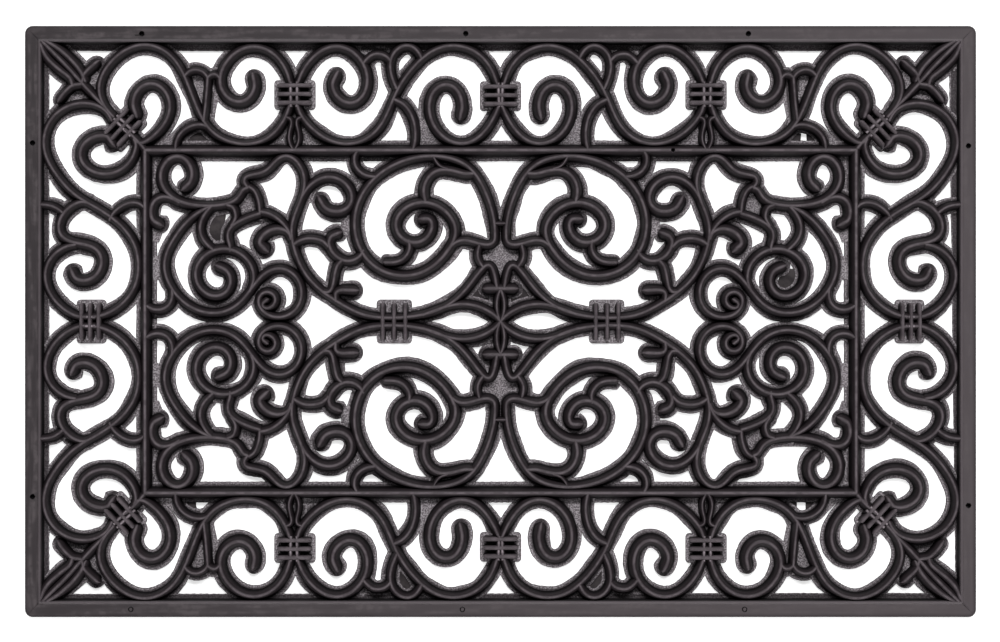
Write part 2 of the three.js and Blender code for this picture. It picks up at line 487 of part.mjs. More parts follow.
// The rim's section from its outer edge inward. A grown one is the room its neighbours leave it.
function rimProfile(grow) {
  const flankFoot = RIM_WIDTH + RIM_FLANK_RUN;
  return [
    [0, -grow],
    [0, RIM_HEIGHT - RIM_CHAMFER],
    [RIM_CHAMFER, RIM_HEIGHT],
    [RIM_WIDTH - RIM_BEAD_WIDTH, RIM_HEIGHT + grow],
    [RIM_WIDTH - RIM_BEAD_WIDTH / 2, RIM_HEIGHT + RIM_BEAD_RISE + grow],
    [RIM_WIDTH + grow, RIM_HEIGHT + grow],
    [flankFoot + grow, WEB_THICKNESS + grow],
    [flankFoot + RIM_LEDGE + grow, WEB_THICKNESS + grow],
    [flankFoot + RIM_LEDGE + grow, -grow],
  ].reverse();
}

const railHalfWidth = RAIL_BODY_WIDTH / 2 + RAIL_LEDGE;

function railProfile(grow) {
  const crest = RAIL_CREST_WIDTH / 2 + grow;
  const body = RAIL_BODY_WIDTH / 2 + grow;
  const foot = railHalfWidth + grow;
  const web = WEB_THICKNESS + grow;
  return [
    [-foot, -grow],
    [-foot, web],
    [-body, web],
    [-crest, RAIL_HEIGHT + grow],
    [crest, RAIL_HEIGHT + grow],
    [body, web],
    [foot, web],
    [foot, -grow],
  ]
    .map(([offset, height]) => [foot + offset, height])
    .reverse();
}

function railFrame(grow) {
  const reach = railHalfWidth + grow;
  return frameSolid(railX + reach, railY + reach, railProfile(grow), 0, 1);
}

function rimFrame(grow) {
  return frameSolid(halfLength, halfWidth, rimProfile(grow), RIM_CORNER_RADIUS, RIM_CORNER_STEPS);
}

// The crest of a bar as stations, no more of them than its curve needs.
function crestStations(shares) {
  const curve = new THREE.CatmullRomCurve3(shares.map(fieldPoint), false, "centripetal");
  const count = (shares.length - 1) * CURVE_SUBDIVISIONS;
  const points = [];
  const tangents = [];
  for (let i = 0; i <= count; i++) {
    points.push(curve.getPoint(i / count));
    tangents.push(curve.getTangent(i / count));
  }
  const chord = new THREE.Line3();
  const nearest = new THREE.Vector3();
  const fits = (from, to) => {
    chord.set(points[from], points[to]);
    const turn = tangents[from].angleTo(tangents[to]);
    const strays = points.slice(from + 1, to).some((point) => {
      chord.closestPointToPoint(point, true, nearest);
      return nearest.distanceTo(point) > CURVE_TOLERANCE;
    });
    return turn <= THREE.MathUtils.degToRad(MAX_STEP_TURN) && !strays;
  };
  const chosen = [0];
  while (chosen[chosen.length - 1] < count) {
    const from = chosen[chosen.length - 1];
    let to = from + 1;
    while (to < count && fits(from, to + 1)) to++;
    chosen.push(to);
  }
  return chosen.map((i) => ({ point: points[i], tangent: tangents[i], along: i / count }));
}

// How far one foot of a bar's section reaches sideways. A grown bar is the room its neighbours leave it.
function footReach(side, bend, crest, grow) {
  const slope = Math.hypot(side, crest);
  return Math.min(side + (grow * (slope + side)) / crest, bend * GROWN_BEND_SHARE);
}

// The section of a bar, a ridge between two feet, across its crest's direction.
function barRing(point, tangent, left, right, crest, grow) {
  const mean = (left.side + right.side) / 2;
  const ridge = crest + (grow * Math.hypot(mean, crest)) / mean;
  const across = [
    [footReach(left.side, left.bend, crest, grow), -grow],
    [0, ridge],
    [-footReach(right.side, right.bend, crest, grow), -grow],
  ];
  return across.map(([offset, height]) => [
    point.x - tangent.y * offset,
    point.y + tangent.x * offset,
    height,
  ]);
}

function barSolids([startShare, endShare, crestShares], grow) {
  const stations = crestStations(crestShares);
  for (const station of stations) {
    const share = startShare + (endShare - startShare) * station.along;
    const side = share * BAR_HALF_WIDTH + BAR_LEDGE;
    station.left = { side, bend: Infinity };
    station.right = { side, bend: Infinity };
  }
  // On the inside of a tight bend the section stops short of the bend's centre.
  const turns = [];
  for (let i = 0; i + 1 < stations.length; i++) {
    const ends = [stations[i], stations[i + 1]];
    const [a, b] = ends;
    const cross = a.tangent.x * b.tangent.y - a.tangent.y * b.tangent.x;
    const turn = Math.atan2(cross, a.tangent.dot(b.tangent));
    const bend = a.point.distanceTo(b.point) / (2 * Math.tan(Math.abs(turn) / 2));
    for (const station of ends) {
      const foot = turn > 0 ? station.left : station.right;
      foot.bend = Math.min(foot.bend, bend);
      foot.side = Math.min(foot.side, bend * INNER_BEND_SHARE);
    }
    turns.push(Math.abs(turn));
  }
  const rings = stations.map(({ point, tangent, left, right }) =>
    barRing(point, tangent, left, right, BAR_HEIGHT, grow),
  );
  const nose = (station, sign) => {
    const half = Math.min(station.left.side, station.right.side);
    const reach = sign * half * BAR_NOSE_REACH_SHARE;
    const tip = station.point.clone().addScaledVector(station.tangent, reach);
    const foot = { side: half * BAR_NOSE_SIZE_SHARE, bend: Infinity };
    return barRing(tip, station.tangent, foot, foot, BAR_HEIGHT * BAR_NOSE_SIZE_SHARE, grow);
  };
  if (startShare > 1) {
    rings.unshift(nose(stations[0], -1));
    turns.unshift(0);
  }
  if (endShare > 1) {
    rings.push(nose(stations[stations.length - 1], 1));
    turns.push(0);
  }
  // Swept in lengths too short to run into themselves, each one starting a step back in the last.
  const solids = [];
  let from = 0;
  let turned = 0;
  for (let i = 0; i < turns.length; i++) {
    turned += turns[i];
    const bends = turned + (turns[i + 1] ?? 0) > THREE.MathUtils.degToRad(MAX_PIECE_TURN);
    if (i === turns.length - 1 || bends) {
      solids.push(solidOf(skin(rings.slice(from, i + 2), false)));
      from = i;
      turned = 0;
    }
  }
  return solids;
}

// A corner filled by the web.
function fillSolid(outlineShares, grow) {
  const outline = outlineShares.map(fieldPoint);
  const geometry = new THREE.ExtrudeGeometry(new THREE.Shape(outline), {
    depth: WEB_THICKNESS + 2 * grow,
    bevelEnabled: false,
  });
  return solidOf(geometry.translate(0, 0, -grow));
}

function scrollSolid(bars, fills, grow) {
  const solids = bars.flatMap((bar) => barSolids(bar, grow));
  for (const fill of fills) solids.push(fillSolid(fill, grow));
  return wasm.Manifold.union(solids);
}

function tiePlace(geometry, [shareX, shareY], turn) {
  const centre = fieldPoint([shareX, shareY]);
  geometry.rotateZ(THREE.MathUtils.degToRad(turn));
  return geometry.translate(centre.x, centre.y, 0);
}

const plateMargins = 2 * TIE_PLATE_MARGIN;

function tieSolid({ shares, turn, rodLength, spacing }) {
  const plateSpan = 2 * spacing + TIE_ROD_WIDTH + plateMargins;
  const plate = box(rodLength + plateMargins, plateSpan, 0, WEB_THICKNESS);
  const coreLength = rodLength - 2 * TIE_CORE_INSET;
  const core = box(coreLength, 2 * spacing, 0, BAR_HEIGHT - TIE_CORE_DROP);
  const parts = [plate, core];
  for (const place of [-1, 0, 1]) {
    const rod = box(rodLength, TIE_ROD_WIDTH, 0, tieHeight);
    parts.push(rod.translate(0, place * spacing, 0));
  }
  const solids = parts.map((part) => solidOf(tiePlace(part, shares, turn)));
  return wasm.Manifold.union(solids);
}

// The room a tie takes out of the bars that meet under it.
function tieRoom({ shares, turn, rodLength, spacing }) {
  const length = rodLength + 2 * PIECE_GAP;
  const span = 2 * spacing + TIE_ROD_WIDTH + 2 * PIECE_GAP;
  const plateTop = WEB_THICKNESS + PIECE_GAP;
  const plate = box(length + plateMargins, span + plateMargins, -headroom, plateTop);
  const block = box(length, span, -headroom, headroom);
  const solids = [plate, block].map((part) => solidOf(tiePlace(part, shares, turn)));
  return wasm.Manifold.union(solids);
}

const shortTie = { rodLength: TIE_ROD_LENGTH, spacing: TIE_ROD_SPACING };
const longTie = { rodLength: TIE_LONG_ROD_LENGTH, turn: SIDE_TIE_TURN };
const middleTie = { ...shortTie, shares: middleTieShares, turn: 0 };
const secondTie = { ...shortTie, shares: secondTieShares, turn: 0 };
const cornerTie = { ...shortTie, shares: cornerTieShares, turn: CORNER_TIE_TURN };
const panelTie = { ...longTie, shares: panelTieShares, spacing: PANEL_TIE_ROD_SPACING };
const sideTie = { ...longTie, shares: sideTieShares, spacing: TIE_ROD_SPACING };

const doormat = new THREE.Group();
doormat.name = "doormat";

const RUBBER = { color: 0x2e2b2c, roughness: 0.55, metalness: 0 };
const TIE_RUBBER = { color: 0x33302f, roughness: 0.5, metalness: 0 };

// One piece of the mat, in its own quarter or mirrored into another.
function addPiece(name, geometry, look, signX, signY) {
  const piece = new THREE.Mesh(geometry, new THREE.MeshStandardMaterial(look));
  piece.name = name;
  piece.scale.set(signX, signY, 1);
  doormat.add(piece);
}

const SIDE_NAMES = { 1: "right", "-1": "left" };
const END_NAMES = { 1: "top", "-1": "bottom" };

// The rim and the rail, with their pits.
function pitAt(x, y, diameter, low, high) {
  const pit = new THREE.CylinderGeometry(diameter / 2, diameter / 2, high - low, PIT_SIDES);
  pit.rotateX(Math.PI / 2);
  return solidOf(pit.translate(x, y, (low + high) / 2));
}

function pitSolid([shareX, shareY]) {
  const lineX = halfLength - RIM_WIDTH / 2;
  const lineY = halfWidth - RIM_WIDTH / 2;
  const x = Math.abs(shareX) === 1 ? shareX * lineX : shareX * halfLength;
  const y = Math.abs(shareY) === 1 ? shareY * lineY : shareY * halfWidth;
  return pitAt(x, y, PIT_DIAMETER, RIM_HEIGHT - PIT_DEPTH, tieHeight);
}

const pits = wasm.Manifold.union([...longSidePitShares, ...endPitShares].map(pitSolid));
const rimDepth = RIM_WIDTH + RIM_FLANK_RUN + RIM_LEDGE;
const rimSides = frameSides(rimFrame(0).subtract(pits), halfLength, halfWidth, rimDepth);
for (const [side, solid] of Object.entries(rimSides)) {
  addPiece("rim_" + side, geometryOf(solid), RUBBER, 1, 1);
}
const railOuterX = railX + railHalfWidth;
const railOuterY = railY + railHalfWidth;
const railPitFloor = RAIL_HEIGHT - RAIL_PIT_DEPTH;
const railPit = pitAt(railPitShare * railX, railY, RAIL_PIT_DIAMETER, railPitFloor, tieHeight);
const railSolid = railFrame(0).subtract(railPit);
const railSides = frameSides(railSolid, railOuterX, railOuterY, 2 * railHalfWidth);
for (const [side, solid] of Object.entries(railSides)) {
  addPiece("rail_" + side, geometryOf(solid), RUBBER, 1, 1);
}

// The ties.
const middleTieShape = geometryOf(tieSolid(middleTie));
const secondTieShape = geometryOf(tieSolid(secondTie));
const cornerTieShape = geometryOf(tieSolid(cornerTie));
const panelTieShape = geometryOf(tieSolid(panelTie));
const sideTieShape = geometryOf(tieSolid(sideTie));
for (const signX of [1, -1]) {
  addPiece("tie_panel_" + SIDE_NAMES[signX], panelTieShape, TIE_RUBBER, signX, 1);
  addPiece("tie_side_" + SIDE_NAMES[signX], sideTieShape, TIE_RUBBER, signX, 1);
  for (const signY of [1, -1]) {
    const quarter = END_NAMES[signY] + "_" + SIDE_NAMES[signX];
    addPiece("tie_second_" + quarter, secondTieShape, TIE_RUBBER, signX, signY);
    addPiece("tie_corner_" + quarter, cornerTieShape, TIE_RUBBER, signX, signY);
  }
}
for (const signY of [1, -1]) {
  addPiece("tie_middle_" + END_NAMES[signY], middleTieShape, TIE_RUBBER, 1, signY);
}

// The scrollwork of one quarter. Each piece is cut where the ones before it run, and stops short of
// the mat's two axes.
let taken = wasm.Manifold.union([
  rimFrame(PIECE_GAP),
  railFrame(PIECE_GAP),
  ...[middleTie, secondTie, cornerTie, panelTie, sideTie].map(tieRoom),
]);

// The same solid on the other side of the mat's short axis.
function mirrored(solid) {
  const geometry = geometryOf(solid).applyMatrix4(new THREE.Matrix4().makeScale(-1, 1, 1));
  const corners = geometry.getIndex().array;
  for (let i = 0; i < corners.length; i += 3) {
    [corners[i], corners[i + 1]] = [corners[i + 1], corners[i]];
  }
  return solidOf(geometry);
}

// A piece is either in one quarter of the mat, or a pair of mirror images joined on its short axis.
function fieldFrom(startX) {
  const field = box(halfLength, halfWidth, -headroom, headroom);
  return solidOf(field.translate(startX + halfLength / 2, (halfWidth + PIECE_GAP) / 2, 0));
}

const quarterField = fieldFrom(PIECE_GAP / 2);
const pairField = fieldFrom(-PIECE_GAP);

const scrolls = [
  { name: "middle_curls", bars: middleCurlShares, fills: [], paired: true },
  { name: "border_centre_scroll", bars: borderCentreScrollShares, fills: borderCentreFillShares },
  { name: "border_scroll_pair", bars: borderScrollPairShares, fills: [] },
  { name: "corner_top_sweep", bars: cornerTopSweepShares, fills: cornerTopFillShares },
  { name: "corner_curls", bars: cornerCurlsShares, fills: cornerCurlFillShares },
  { name: "side_scroll", bars: sideScrollShares, fills: [] },
  { name: "corner_leaf", bars: cornerLeafShares, fills: cornerLeafFillShares },
  { name: "panel_sweep", bars: panelSweepShares, fills: panelSweepFillShares },
  { name: "panel_volute", bars: panelVoluteShares, fills: panelVoluteFillShares },
  { name: "medallion", bars: medallionShares, fills: medallionFillShares },
];
for (const { name, bars, fills, paired } of scrolls) {
  const whole = scrollSolid(bars, fills, 0);
  const cut = whole.intersect(paired ? pairField : quarterField).subtract(taken);
  const solid = trimmed(paired ? cut.add(mirrored(cut)) : cut);
  taken = taken.add(scrollSolid(bars, fills, PIECE_GAP));
  for (const signY of [1, -1]) {
    if (paired) {
      addPiece(name + "_" + END_NAMES[signY], geometryOf(solid), RUBBER, 1, signY);
      continue;
    }
    for (const signX of [1, -1]) {
      const quarter = END_NAMES[signY] + "_" + SIDE_NAMES[signX];
      addPiece(name + "_" + quarter, geometryOf(solid), RUBBER, signX, signY);
    }
  }
}

export default doormat;
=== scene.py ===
import bpy
import numpy as np
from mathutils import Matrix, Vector


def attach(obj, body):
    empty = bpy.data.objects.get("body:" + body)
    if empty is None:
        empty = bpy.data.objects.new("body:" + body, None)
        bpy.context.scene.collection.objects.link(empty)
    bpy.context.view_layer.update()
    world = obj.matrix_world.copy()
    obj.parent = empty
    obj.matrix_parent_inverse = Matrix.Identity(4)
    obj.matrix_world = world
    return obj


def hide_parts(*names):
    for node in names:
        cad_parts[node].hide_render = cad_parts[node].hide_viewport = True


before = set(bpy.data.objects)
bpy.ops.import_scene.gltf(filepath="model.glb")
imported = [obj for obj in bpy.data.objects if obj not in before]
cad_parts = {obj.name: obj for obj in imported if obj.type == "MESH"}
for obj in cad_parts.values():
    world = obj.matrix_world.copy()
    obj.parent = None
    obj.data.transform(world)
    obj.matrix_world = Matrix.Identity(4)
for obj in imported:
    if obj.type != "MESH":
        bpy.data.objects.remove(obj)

# Looks of a doormat of moulded black rubber, lying flat. Metres, +Z up, +X along its length.
# Its underside is z = 0, and the middle of the mat is x = 0, y = 0.

bl_info = {
    "name": "Scrollwork doormat",
    "version": (1, 0, 0),
    "blender": (4, 5, 0),
    "location": "3D View > Sidebar > Doormat",
    "description": "Black rubber doormat with moulded scrollwork",
    "category": "Object",
}

# Places in a quarter of the pattern are field shares: 0 is the middle of the mat, 1 the crest of
# the rail and 2 the inner edge of the rim, along x and along y. A bar is its half-width at both
# ends, as a share of the common one, and the points of its crest. An end broader than 1 is a free
# one, with a rounded nose. The other three quarters are mirror images.

BORDER_CENTRE_SCROLL_SHARES = [
  # the arc out of the middle tie, over to the next tie
  [1, 1, [[0.009, 1.6], [0.022, 1.726], [0.04, 1.811], [0.061, 1.88], [0.084, 1.926], [0.11, 1.953],
    [0.136, 1.965], [0.162, 1.953], [0.188, 1.919], [0.209, 1.875], [0.228, 1.82], [0.246, 1.755],
    [0.265, 1.682], [0.281, 1.61], [0.293, 1.541], [0.303, 1.465], [0.312, 1.392], [0.323, 1.308],
    [0.336, 1.238], [0.351, 1.175], [0.369, 1.123], [0.392, 1.085], [0.415, 1.067], [0.439, 1.062],
    [0.463, 1.072], [0.486, 1.1], [0.51, 1.146], [0.533, 1.208], [0.552, 1.277], [0.564, 1.346],
    [0.572, 1.415]]],
  # the loop against the rim
  [1, 1, [[0.222, 1.845], [0.237, 1.919], [0.251, 1.953], [0.265, 1.965], [0.282, 1.946],
    [0.296, 1.911], [0.307, 1.857], [0.312, 1.795], [0.309, 1.726], [0.3, 1.649], [0.293, 1.572]]],
  # the bridge from the loop to the next scroll
  [1, 1, [[0.31, 1.825], [0.324, 1.868], [0.342, 1.886], [0.359, 1.88], [0.373, 1.849],
    [0.384, 1.811]]],
  # the branch down to the rail
  [1, 1, [[0.298, 1.466], [0.277, 1.43], [0.26, 1.377], [0.249, 1.308], [0.242, 1.231],
    [0.239, 1.153], [0.242, 1.077], [0.246, 1.01]]],
  # the bud between the second tie and the rail
  [0.7, 0.7, [[0.56, 1.305], [0.571, 1.284], [0.575, 1.246], [0.571, 1.2], [0.567, 1.146],
    [0.569, 1.077], [0.578, 1.007]]],
  [0.7, 0.7, [[0.6024, 1.305], [0.5914, 1.284], [0.5874, 1.246], [0.5914, 1.2], [0.5954, 1.146],
    [0.5934, 1.077], [0.5844, 1.007]]],
]

MIDDLE_CURL_SHARES = [
  [1, 1.3, [[0.004, 1.415], [0.011, 1.361], [0.023, 1.277], [0.037, 1.208], [0.054, 1.146],
    [0.072, 1.1], [0.094, 1.072], [0.115, 1.063], [0.138, 1.078], [0.161, 1.124], [0.179, 1.183],
    [0.192, 1.258], [0.198, 1.333], [0.1995, 1.408], [0.1969, 1.477], [0.19, 1.536],
    [0.178, 1.577], [0.1633, 1.598], [0.1486, 1.602], [0.1339, 1.586], [0.1215, 1.552],
    [0.1136, 1.504], [0.1097, 1.445], [0.1091, 1.386], [0.111, 1.343]]],
]

BORDER_SCROLL_PAIR_SHARES = [
  [1, 1.3, [[0.572, 1.6], [0.561, 1.703], [0.547, 1.78], [0.528, 1.849], [0.507, 1.903],
    [0.484, 1.945], [0.463, 1.961], [0.439, 1.945], [0.416, 1.903], [0.397, 1.842], [0.385, 1.78],
    [0.377, 1.703], [0.376, 1.634], [0.38, 1.557], [0.39, 1.495], [0.404, 1.449], [0.423, 1.434],
    [0.441, 1.449], [0.458, 1.488], [0.47, 1.549], [0.471, 1.618], [0.465, 1.68]]],
  [1, 1.3, [[0.591, 1.6], [0.599, 1.703], [0.613, 1.788], [0.629, 1.849], [0.648, 1.903],
    [0.669, 1.942], [0.697, 1.961], [0.723, 1.942], [0.742, 1.903], [0.761, 1.849], [0.775, 1.788],
    [0.785, 1.726], [0.788, 1.665], [0.788, 1.603], [0.782, 1.541], [0.77, 1.495], [0.754, 1.457],
    [0.735, 1.441], [0.719, 1.461], [0.705, 1.495], [0.696, 1.549], [0.694, 1.603],
    [0.695, 1.657]]],
]

CORNER_TOP_SWEEP_SHARES = [
  [1, 1, [[0.593, 1.415], [0.6, 1.338], [0.613, 1.261], [0.629, 1.192], [0.648, 1.138],
    [0.667, 1.092], [0.693, 1.061], [0.724, 1.052], [0.754, 1.069], [0.777, 1.107], [0.801, 1.154],
    [0.82, 1.2], [0.834, 1.256], [0.848, 1.346], [0.861, 1.45], [0.873, 1.557], [0.886, 1.649],
    [0.897, 1.726], [0.909, 1.795], [0.923, 1.849], [0.942, 1.911], [0.963, 1.945], [0.987, 1.965],
    [1.01, 1.965], [1.082, 1.961], [1.17, 1.934], [1.25, 1.888], [1.314, 1.826], [1.37, 1.757],
    [1.41, 1.688], [1.434, 1.618], [1.44, 1.549], [1.428, 1.48], [1.4, 1.42], [1.346, 1.36],
    [1.306, 1.31]]],
  # the upright on its inner side, with a knuckle and a small arch at its top
  [0.9, 0.9, [[0.824, 1.665], [0.826, 1.572], [0.828, 1.495], [0.831, 1.388], [0.833, 1.338],
    [0.835, 1.269]]],
  [0.9, 0.9, [[0.79, 1.66], [0.8, 1.695], [0.81, 1.699], [0.824, 1.67]]],
  [0.9, 0.9, [[0.824, 1.67], [0.834, 1.711], [0.846, 1.734], [0.86, 1.742], [0.876, 1.726],
    [0.89, 1.68]]],
  # the arch down to the rail
  [0.9, 0.9, [[0.825, 1.218], [0.84, 1.234], [0.855, 1.234], [0.871, 1.223], [0.888, 1.192],
    [0.902, 1.146], [0.912, 1.092], [0.915, 1.01]]],
]

CORNER_CURLS_SHARES = [
  [1, 1.3, [[1.1, 1.105], [1.066, 1.073], [1.03, 1.066], [1.002, 1.084], [0.982, 1.123],
    [0.963, 1.177], [0.947, 1.238], [0.935, 1.315], [0.93, 1.392], [0.933, 1.465], [0.943, 1.533],
    [0.957, 1.584], [0.972, 1.609], [0.987, 1.613], [1.016, 1.595], [1.06, 1.563], [1.09, 1.52],
    [1.11, 1.466], [1.116, 1.407], [1.095, 1.345]]],
  [1, 1.3, [[1.105, 1.1], [1.09, 1.06], [1.094, 1.015], [1.114, 0.971], [1.154, 0.932],
    [1.21, 0.897], [1.29, 0.868], [1.378, 0.861], [1.466, 0.87], [1.546, 0.892], [1.602, 0.927],
    [1.626, 0.971], [1.61, 1.023], [1.562, 1.084], [1.498, 1.123], [1.426, 1.134], [1.362, 1.115],
    [1.33, 1.085]]],
  # the stem from the rail's corner to the corner tie
  [1, 1, [[1, 1], [1.066, 1.077], [1.19, 1.19]]],
]

CORNER_LEAF_SHARES = [
  # three ridges of the leaf, the middle one running on as its stem
  [1.15, 1.15, [[1.932, 1.997], [1.857, 1.946], [1.761, 1.884], [1.697, 1.823], [1.649, 1.761],
    [1.611, 1.71], [1.59, 1.67]]],
  [1.1, 1, [[1.98, 1.997], [1.91, 1.925], [1.846, 1.863], [1.761, 1.791], [1.697, 1.72],
    [1.644, 1.658], [1.611, 1.618], [1.51, 1.52], [1.36, 1.37]]],
  [1.15, 1.1, [[1.995, 1.956], [1.953, 1.873], [1.899, 1.807], [1.836, 1.751], [1.761, 1.699],
    [1.718, 1.658], [1.702, 1.618]]],
  # two short petals
  [1, 1.1, [[1.611, 1.618], [1.596, 1.658], [1.59, 1.689], [1.569, 1.72], [1.515, 1.771],
    [1.484, 1.797]]],
  [1, 1.1, [[1.611, 1.612], [1.655, 1.605], [1.697, 1.597], [1.74, 1.566], [1.782, 1.525],
    [1.814, 1.484]]],
]

SIDE_SCROLL_SHARES = [
  [1, 1, [[1.32, 1.275], [1.37, 1.346], [1.442, 1.408], [1.538, 1.434], [1.634, 1.43],
    [1.73, 1.408], [1.81, 1.369], [1.874, 1.315], [1.922, 1.246], [1.954, 1.169], [1.97, 1.092],
    [1.966, 1.015], [1.946, 0.961], [1.914, 0.917], [1.866, 0.873], [1.81, 0.829], [1.754, 0.788],
    [1.698, 0.751], [1.634, 0.72], [1.554, 0.693], [1.474, 0.668], [1.394, 0.639], [1.314, 0.602],
    [1.234, 0.563], [1.17, 0.519], [1.126, 0.475], [1.104, 0.44], [1.085, 0.41], [1.071, 0.371],
    [1.066, 0.322], [1.071, 0.273], [1.088, 0.2244], [1.122, 0.1756], [1.182, 0.1268],
    [1.258, 0.0877], [1.338, 0.0584], [1.41, 0.0389], [1.5, 0.027]]],
  # the arm on the rim's side of the tie
  [1, 1, [[1.57, 0.027], [1.634, 0.027], [1.698, 0.044], [1.762, 0.066], [1.826, 0.0975],
    [1.874, 0.132], [1.914, 0.1756], [1.946, 0.2195], [1.958, 0.2635], [1.946, 0.317],
    [1.914, 0.361], [1.866, 0.395], [1.802, 0.422], [1.738, 0.439], [1.674, 0.449]]],
  # the spiral
  [1, 1.3, [[1.55, 0.692], [1.6, 0.6975], [1.65, 0.69], [1.714, 0.671], [1.77, 0.6415],
    [1.806, 0.607], [1.826, 0.568], [1.822, 0.529], [1.794, 0.495], [1.746, 0.4706], [1.682, 0.458],
    [1.602, 0.456], [1.538, 0.4487], [1.482, 0.429], [1.442, 0.397], [1.426, 0.371],
    [1.422, 0.3416], [1.434, 0.307], [1.466, 0.273], [1.514, 0.249], [1.57, 0.24], [1.626, 0.244],
    [1.674, 0.2586], [1.695, 0.28]]],
  # the branch to the rim and the arch to the rail
  [0.9, 0.9, [[1.794, 0.637], [1.842, 0.659], [1.906, 0.676], [1.994, 0.683]]],
  [0.9, 0.9, [[1, 0.6586], [1.042, 0.6806], [1.098, 0.693], [1.154, 0.693], [1.21, 0.6806],
    [1.266, 0.656], [1.314, 0.622], [1.338, 0.5976]]],
]

MEDALLION_SHARES = [
  # the ring, coiling in to its boss
  [1, 1.25, [[0.0157, 0.5], [0.0165, 0.5487], [0.0193, 0.5976], [0.024, 0.6464], [0.031, 0.695],
    [0.0404, 0.744], [0.052, 0.793], [0.065, 0.837], [0.079, 0.881], [0.0957, 0.912],
    [0.1168, 0.9366], [0.1426, 0.9537], [0.1709, 0.963], [0.1944, 0.965], [0.2179, 0.9625],
    [0.2414, 0.9557], [0.2649, 0.943], [0.2884, 0.9244], [0.3119, 0.9], [0.34, 0.866],
    [0.3565, 0.832], [0.373, 0.788], [0.3894, 0.739], [0.4024, 0.6854], [0.4094, 0.632],
    [0.411, 0.578], [0.4094, 0.529], [0.404, 0.48], [0.3965, 0.4364], [0.387, 0.397],
    [0.3753, 0.361], [0.3565, 0.327], [0.3354, 0.3], [0.3166, 0.283], [0.2884, 0.271],
    [0.26, 0.269], [0.232, 0.279], [0.206, 0.3], [0.1826, 0.334], [0.1614, 0.381], [0.145, 0.4295],
    [0.1356, 0.4637], [0.128, 0.5], [0.1267, 0.539], [0.132, 0.578], [0.1427, 0.617],
    [0.159, 0.651], [0.18, 0.678], [0.2038, 0.6928], [0.227, 0.695], [0.2508, 0.683],
    [0.272, 0.656], [0.288, 0.617], [0.294, 0.578], [0.2926, 0.539], [0.2837, 0.505],
    [0.267, 0.4755], [0.246, 0.4585], [0.225, 0.466], [0.206, 0.49], [0.1955, 0.529],
    [0.1944, 0.568], [0.2014, 0.5976], [0.2155, 0.6]]],
  # the spur inside the ring
  [1, 1, [[0.258, 0.47], [0.256, 0.43], [0.262, 0.395], [0.275, 0.365], [0.295, 0.348],
    [0.325, 0.345]]],
  # the ring's foot, its stem, and the wave across its top
  [1, 1, [[0.0157, 0.5], [0.0181, 0.4756], [0.0263, 0.4536], [0.0416, 0.4438], [0.058, 0.4487],
    [0.0722, 0.4658], [0.0886, 0.478], [0.105, 0.4756], [0.119, 0.4625],
    [0.132, 0.452], [0.145, 0.4295], [0.1614, 0.381]]],
  [0.9, 0.9, [[0.0604, 0.439], [0.0639, 0.41], [0.0634, 0.371], [0.055, 0.335], [0.048, 0.316]]],
  [1.1, 1.2, [[0.082, 0.864], [0.1, 0.862], [0.119, 0.868], [0.142, 0.882], [0.163, 0.889],
    [0.183, 0.88], [0.2, 0.85], [0.212, 0.805], [0.2155, 0.76], [0.2125, 0.71]]],
  # the fine vein behind the wave
  [0.6, 0.6, [[0.15, 0.893], [0.168, 0.905], [0.18, 0.93], [0.187, 0.955]]],
  # the spindle on the short axis: a knot, a stud and a bowed bar
  [0.6, 0.6, [[-0.005, 0.573], [0.013, 0.573]]],
  [1.2, 1.2, [[-0.01, 0.193], [0.034, 0.193]]],
  [0.8, 0.8, [[0, 0.19], [0.006, 0.16], [0.01, 0.12], [0.0107, 0.09], [0.0095, 0.06], [0.006, 0.03],
    [0.001, 0.002]]],
  # the arch and the lens beside the spindle
  [1, 1, [[0.0107, 0.2], [0.0157, 0.2537], [0.0193, 0.288], [0.0228, 0.3123], [0.0322, 0.3294],
    [0.0416, 0.327], [0.051, 0.3123], [0.0627, 0.283], [0.0768, 0.239], [0.0933, 0.195],
    [0.1145, 0.151], [0.1356, 0.117], [0.1567, 0.09], [0.1826, 0.063], [0.2179, 0.04],
    [0.26, 0.027], [0.3, 0.022]]],
  [1, 1, [[0, 0], [0.011, 0.0224], [0.0251, 0.0493], [0.044, 0.0737], [0.065, 0.0908],
    [0.0886, 0.1006], [0.112, 0.1006], [0.1356, 0.0957], [0.159, 0.0835], [0.1826, 0.0664],
    [0.2179, 0.0395]]],
  # the hook up to the rail
  [1, 1, [[0.402, 1], [0.4087, 0.975], [0.4118, 0.941], [0.4087, 0.907], [0.4, 0.88],
    [0.387, 0.863], [0.373, 0.855], [0.355, 0.845]]],
  # the pearl on the ring's outer side
  [1, 1.2, [[0.388, 0.41], [0.394, 0.395], [0.402, 0.376], [0.415, 0.356], [0.432, 0.351],
    [0.448, 0.361], [0.4646, 0.383], [0.4764, 0.415], [0.483, 0.454], [0.481, 0.47],
    [0.474, 0.495], [0.462, 0.512]]],
  [1, 1, [[0.448, 0.354], [0.4576, 0.327], [0.4646, 0.298], [0.469, 0.2586], [0.4705, 0.2196],
    [0.475, 0.19], [0.486, 0.173], [0.4987, 0.173]]],
  [1.2, 1, [[0.417, 0.183], [0.432, 0.184], [0.4505, 0.183], [0.462, 0.171], [0.4646, 0.1414],
    [0.4635, 0.122]]],
  # the arch from the pearl to the next sweep
  [1, 1, [[0.4858, 0.441], [0.5, 0.468], [0.521, 0.483], [0.5445, 0.485], [0.568, 0.47],
    [0.583, 0.449]]],
]

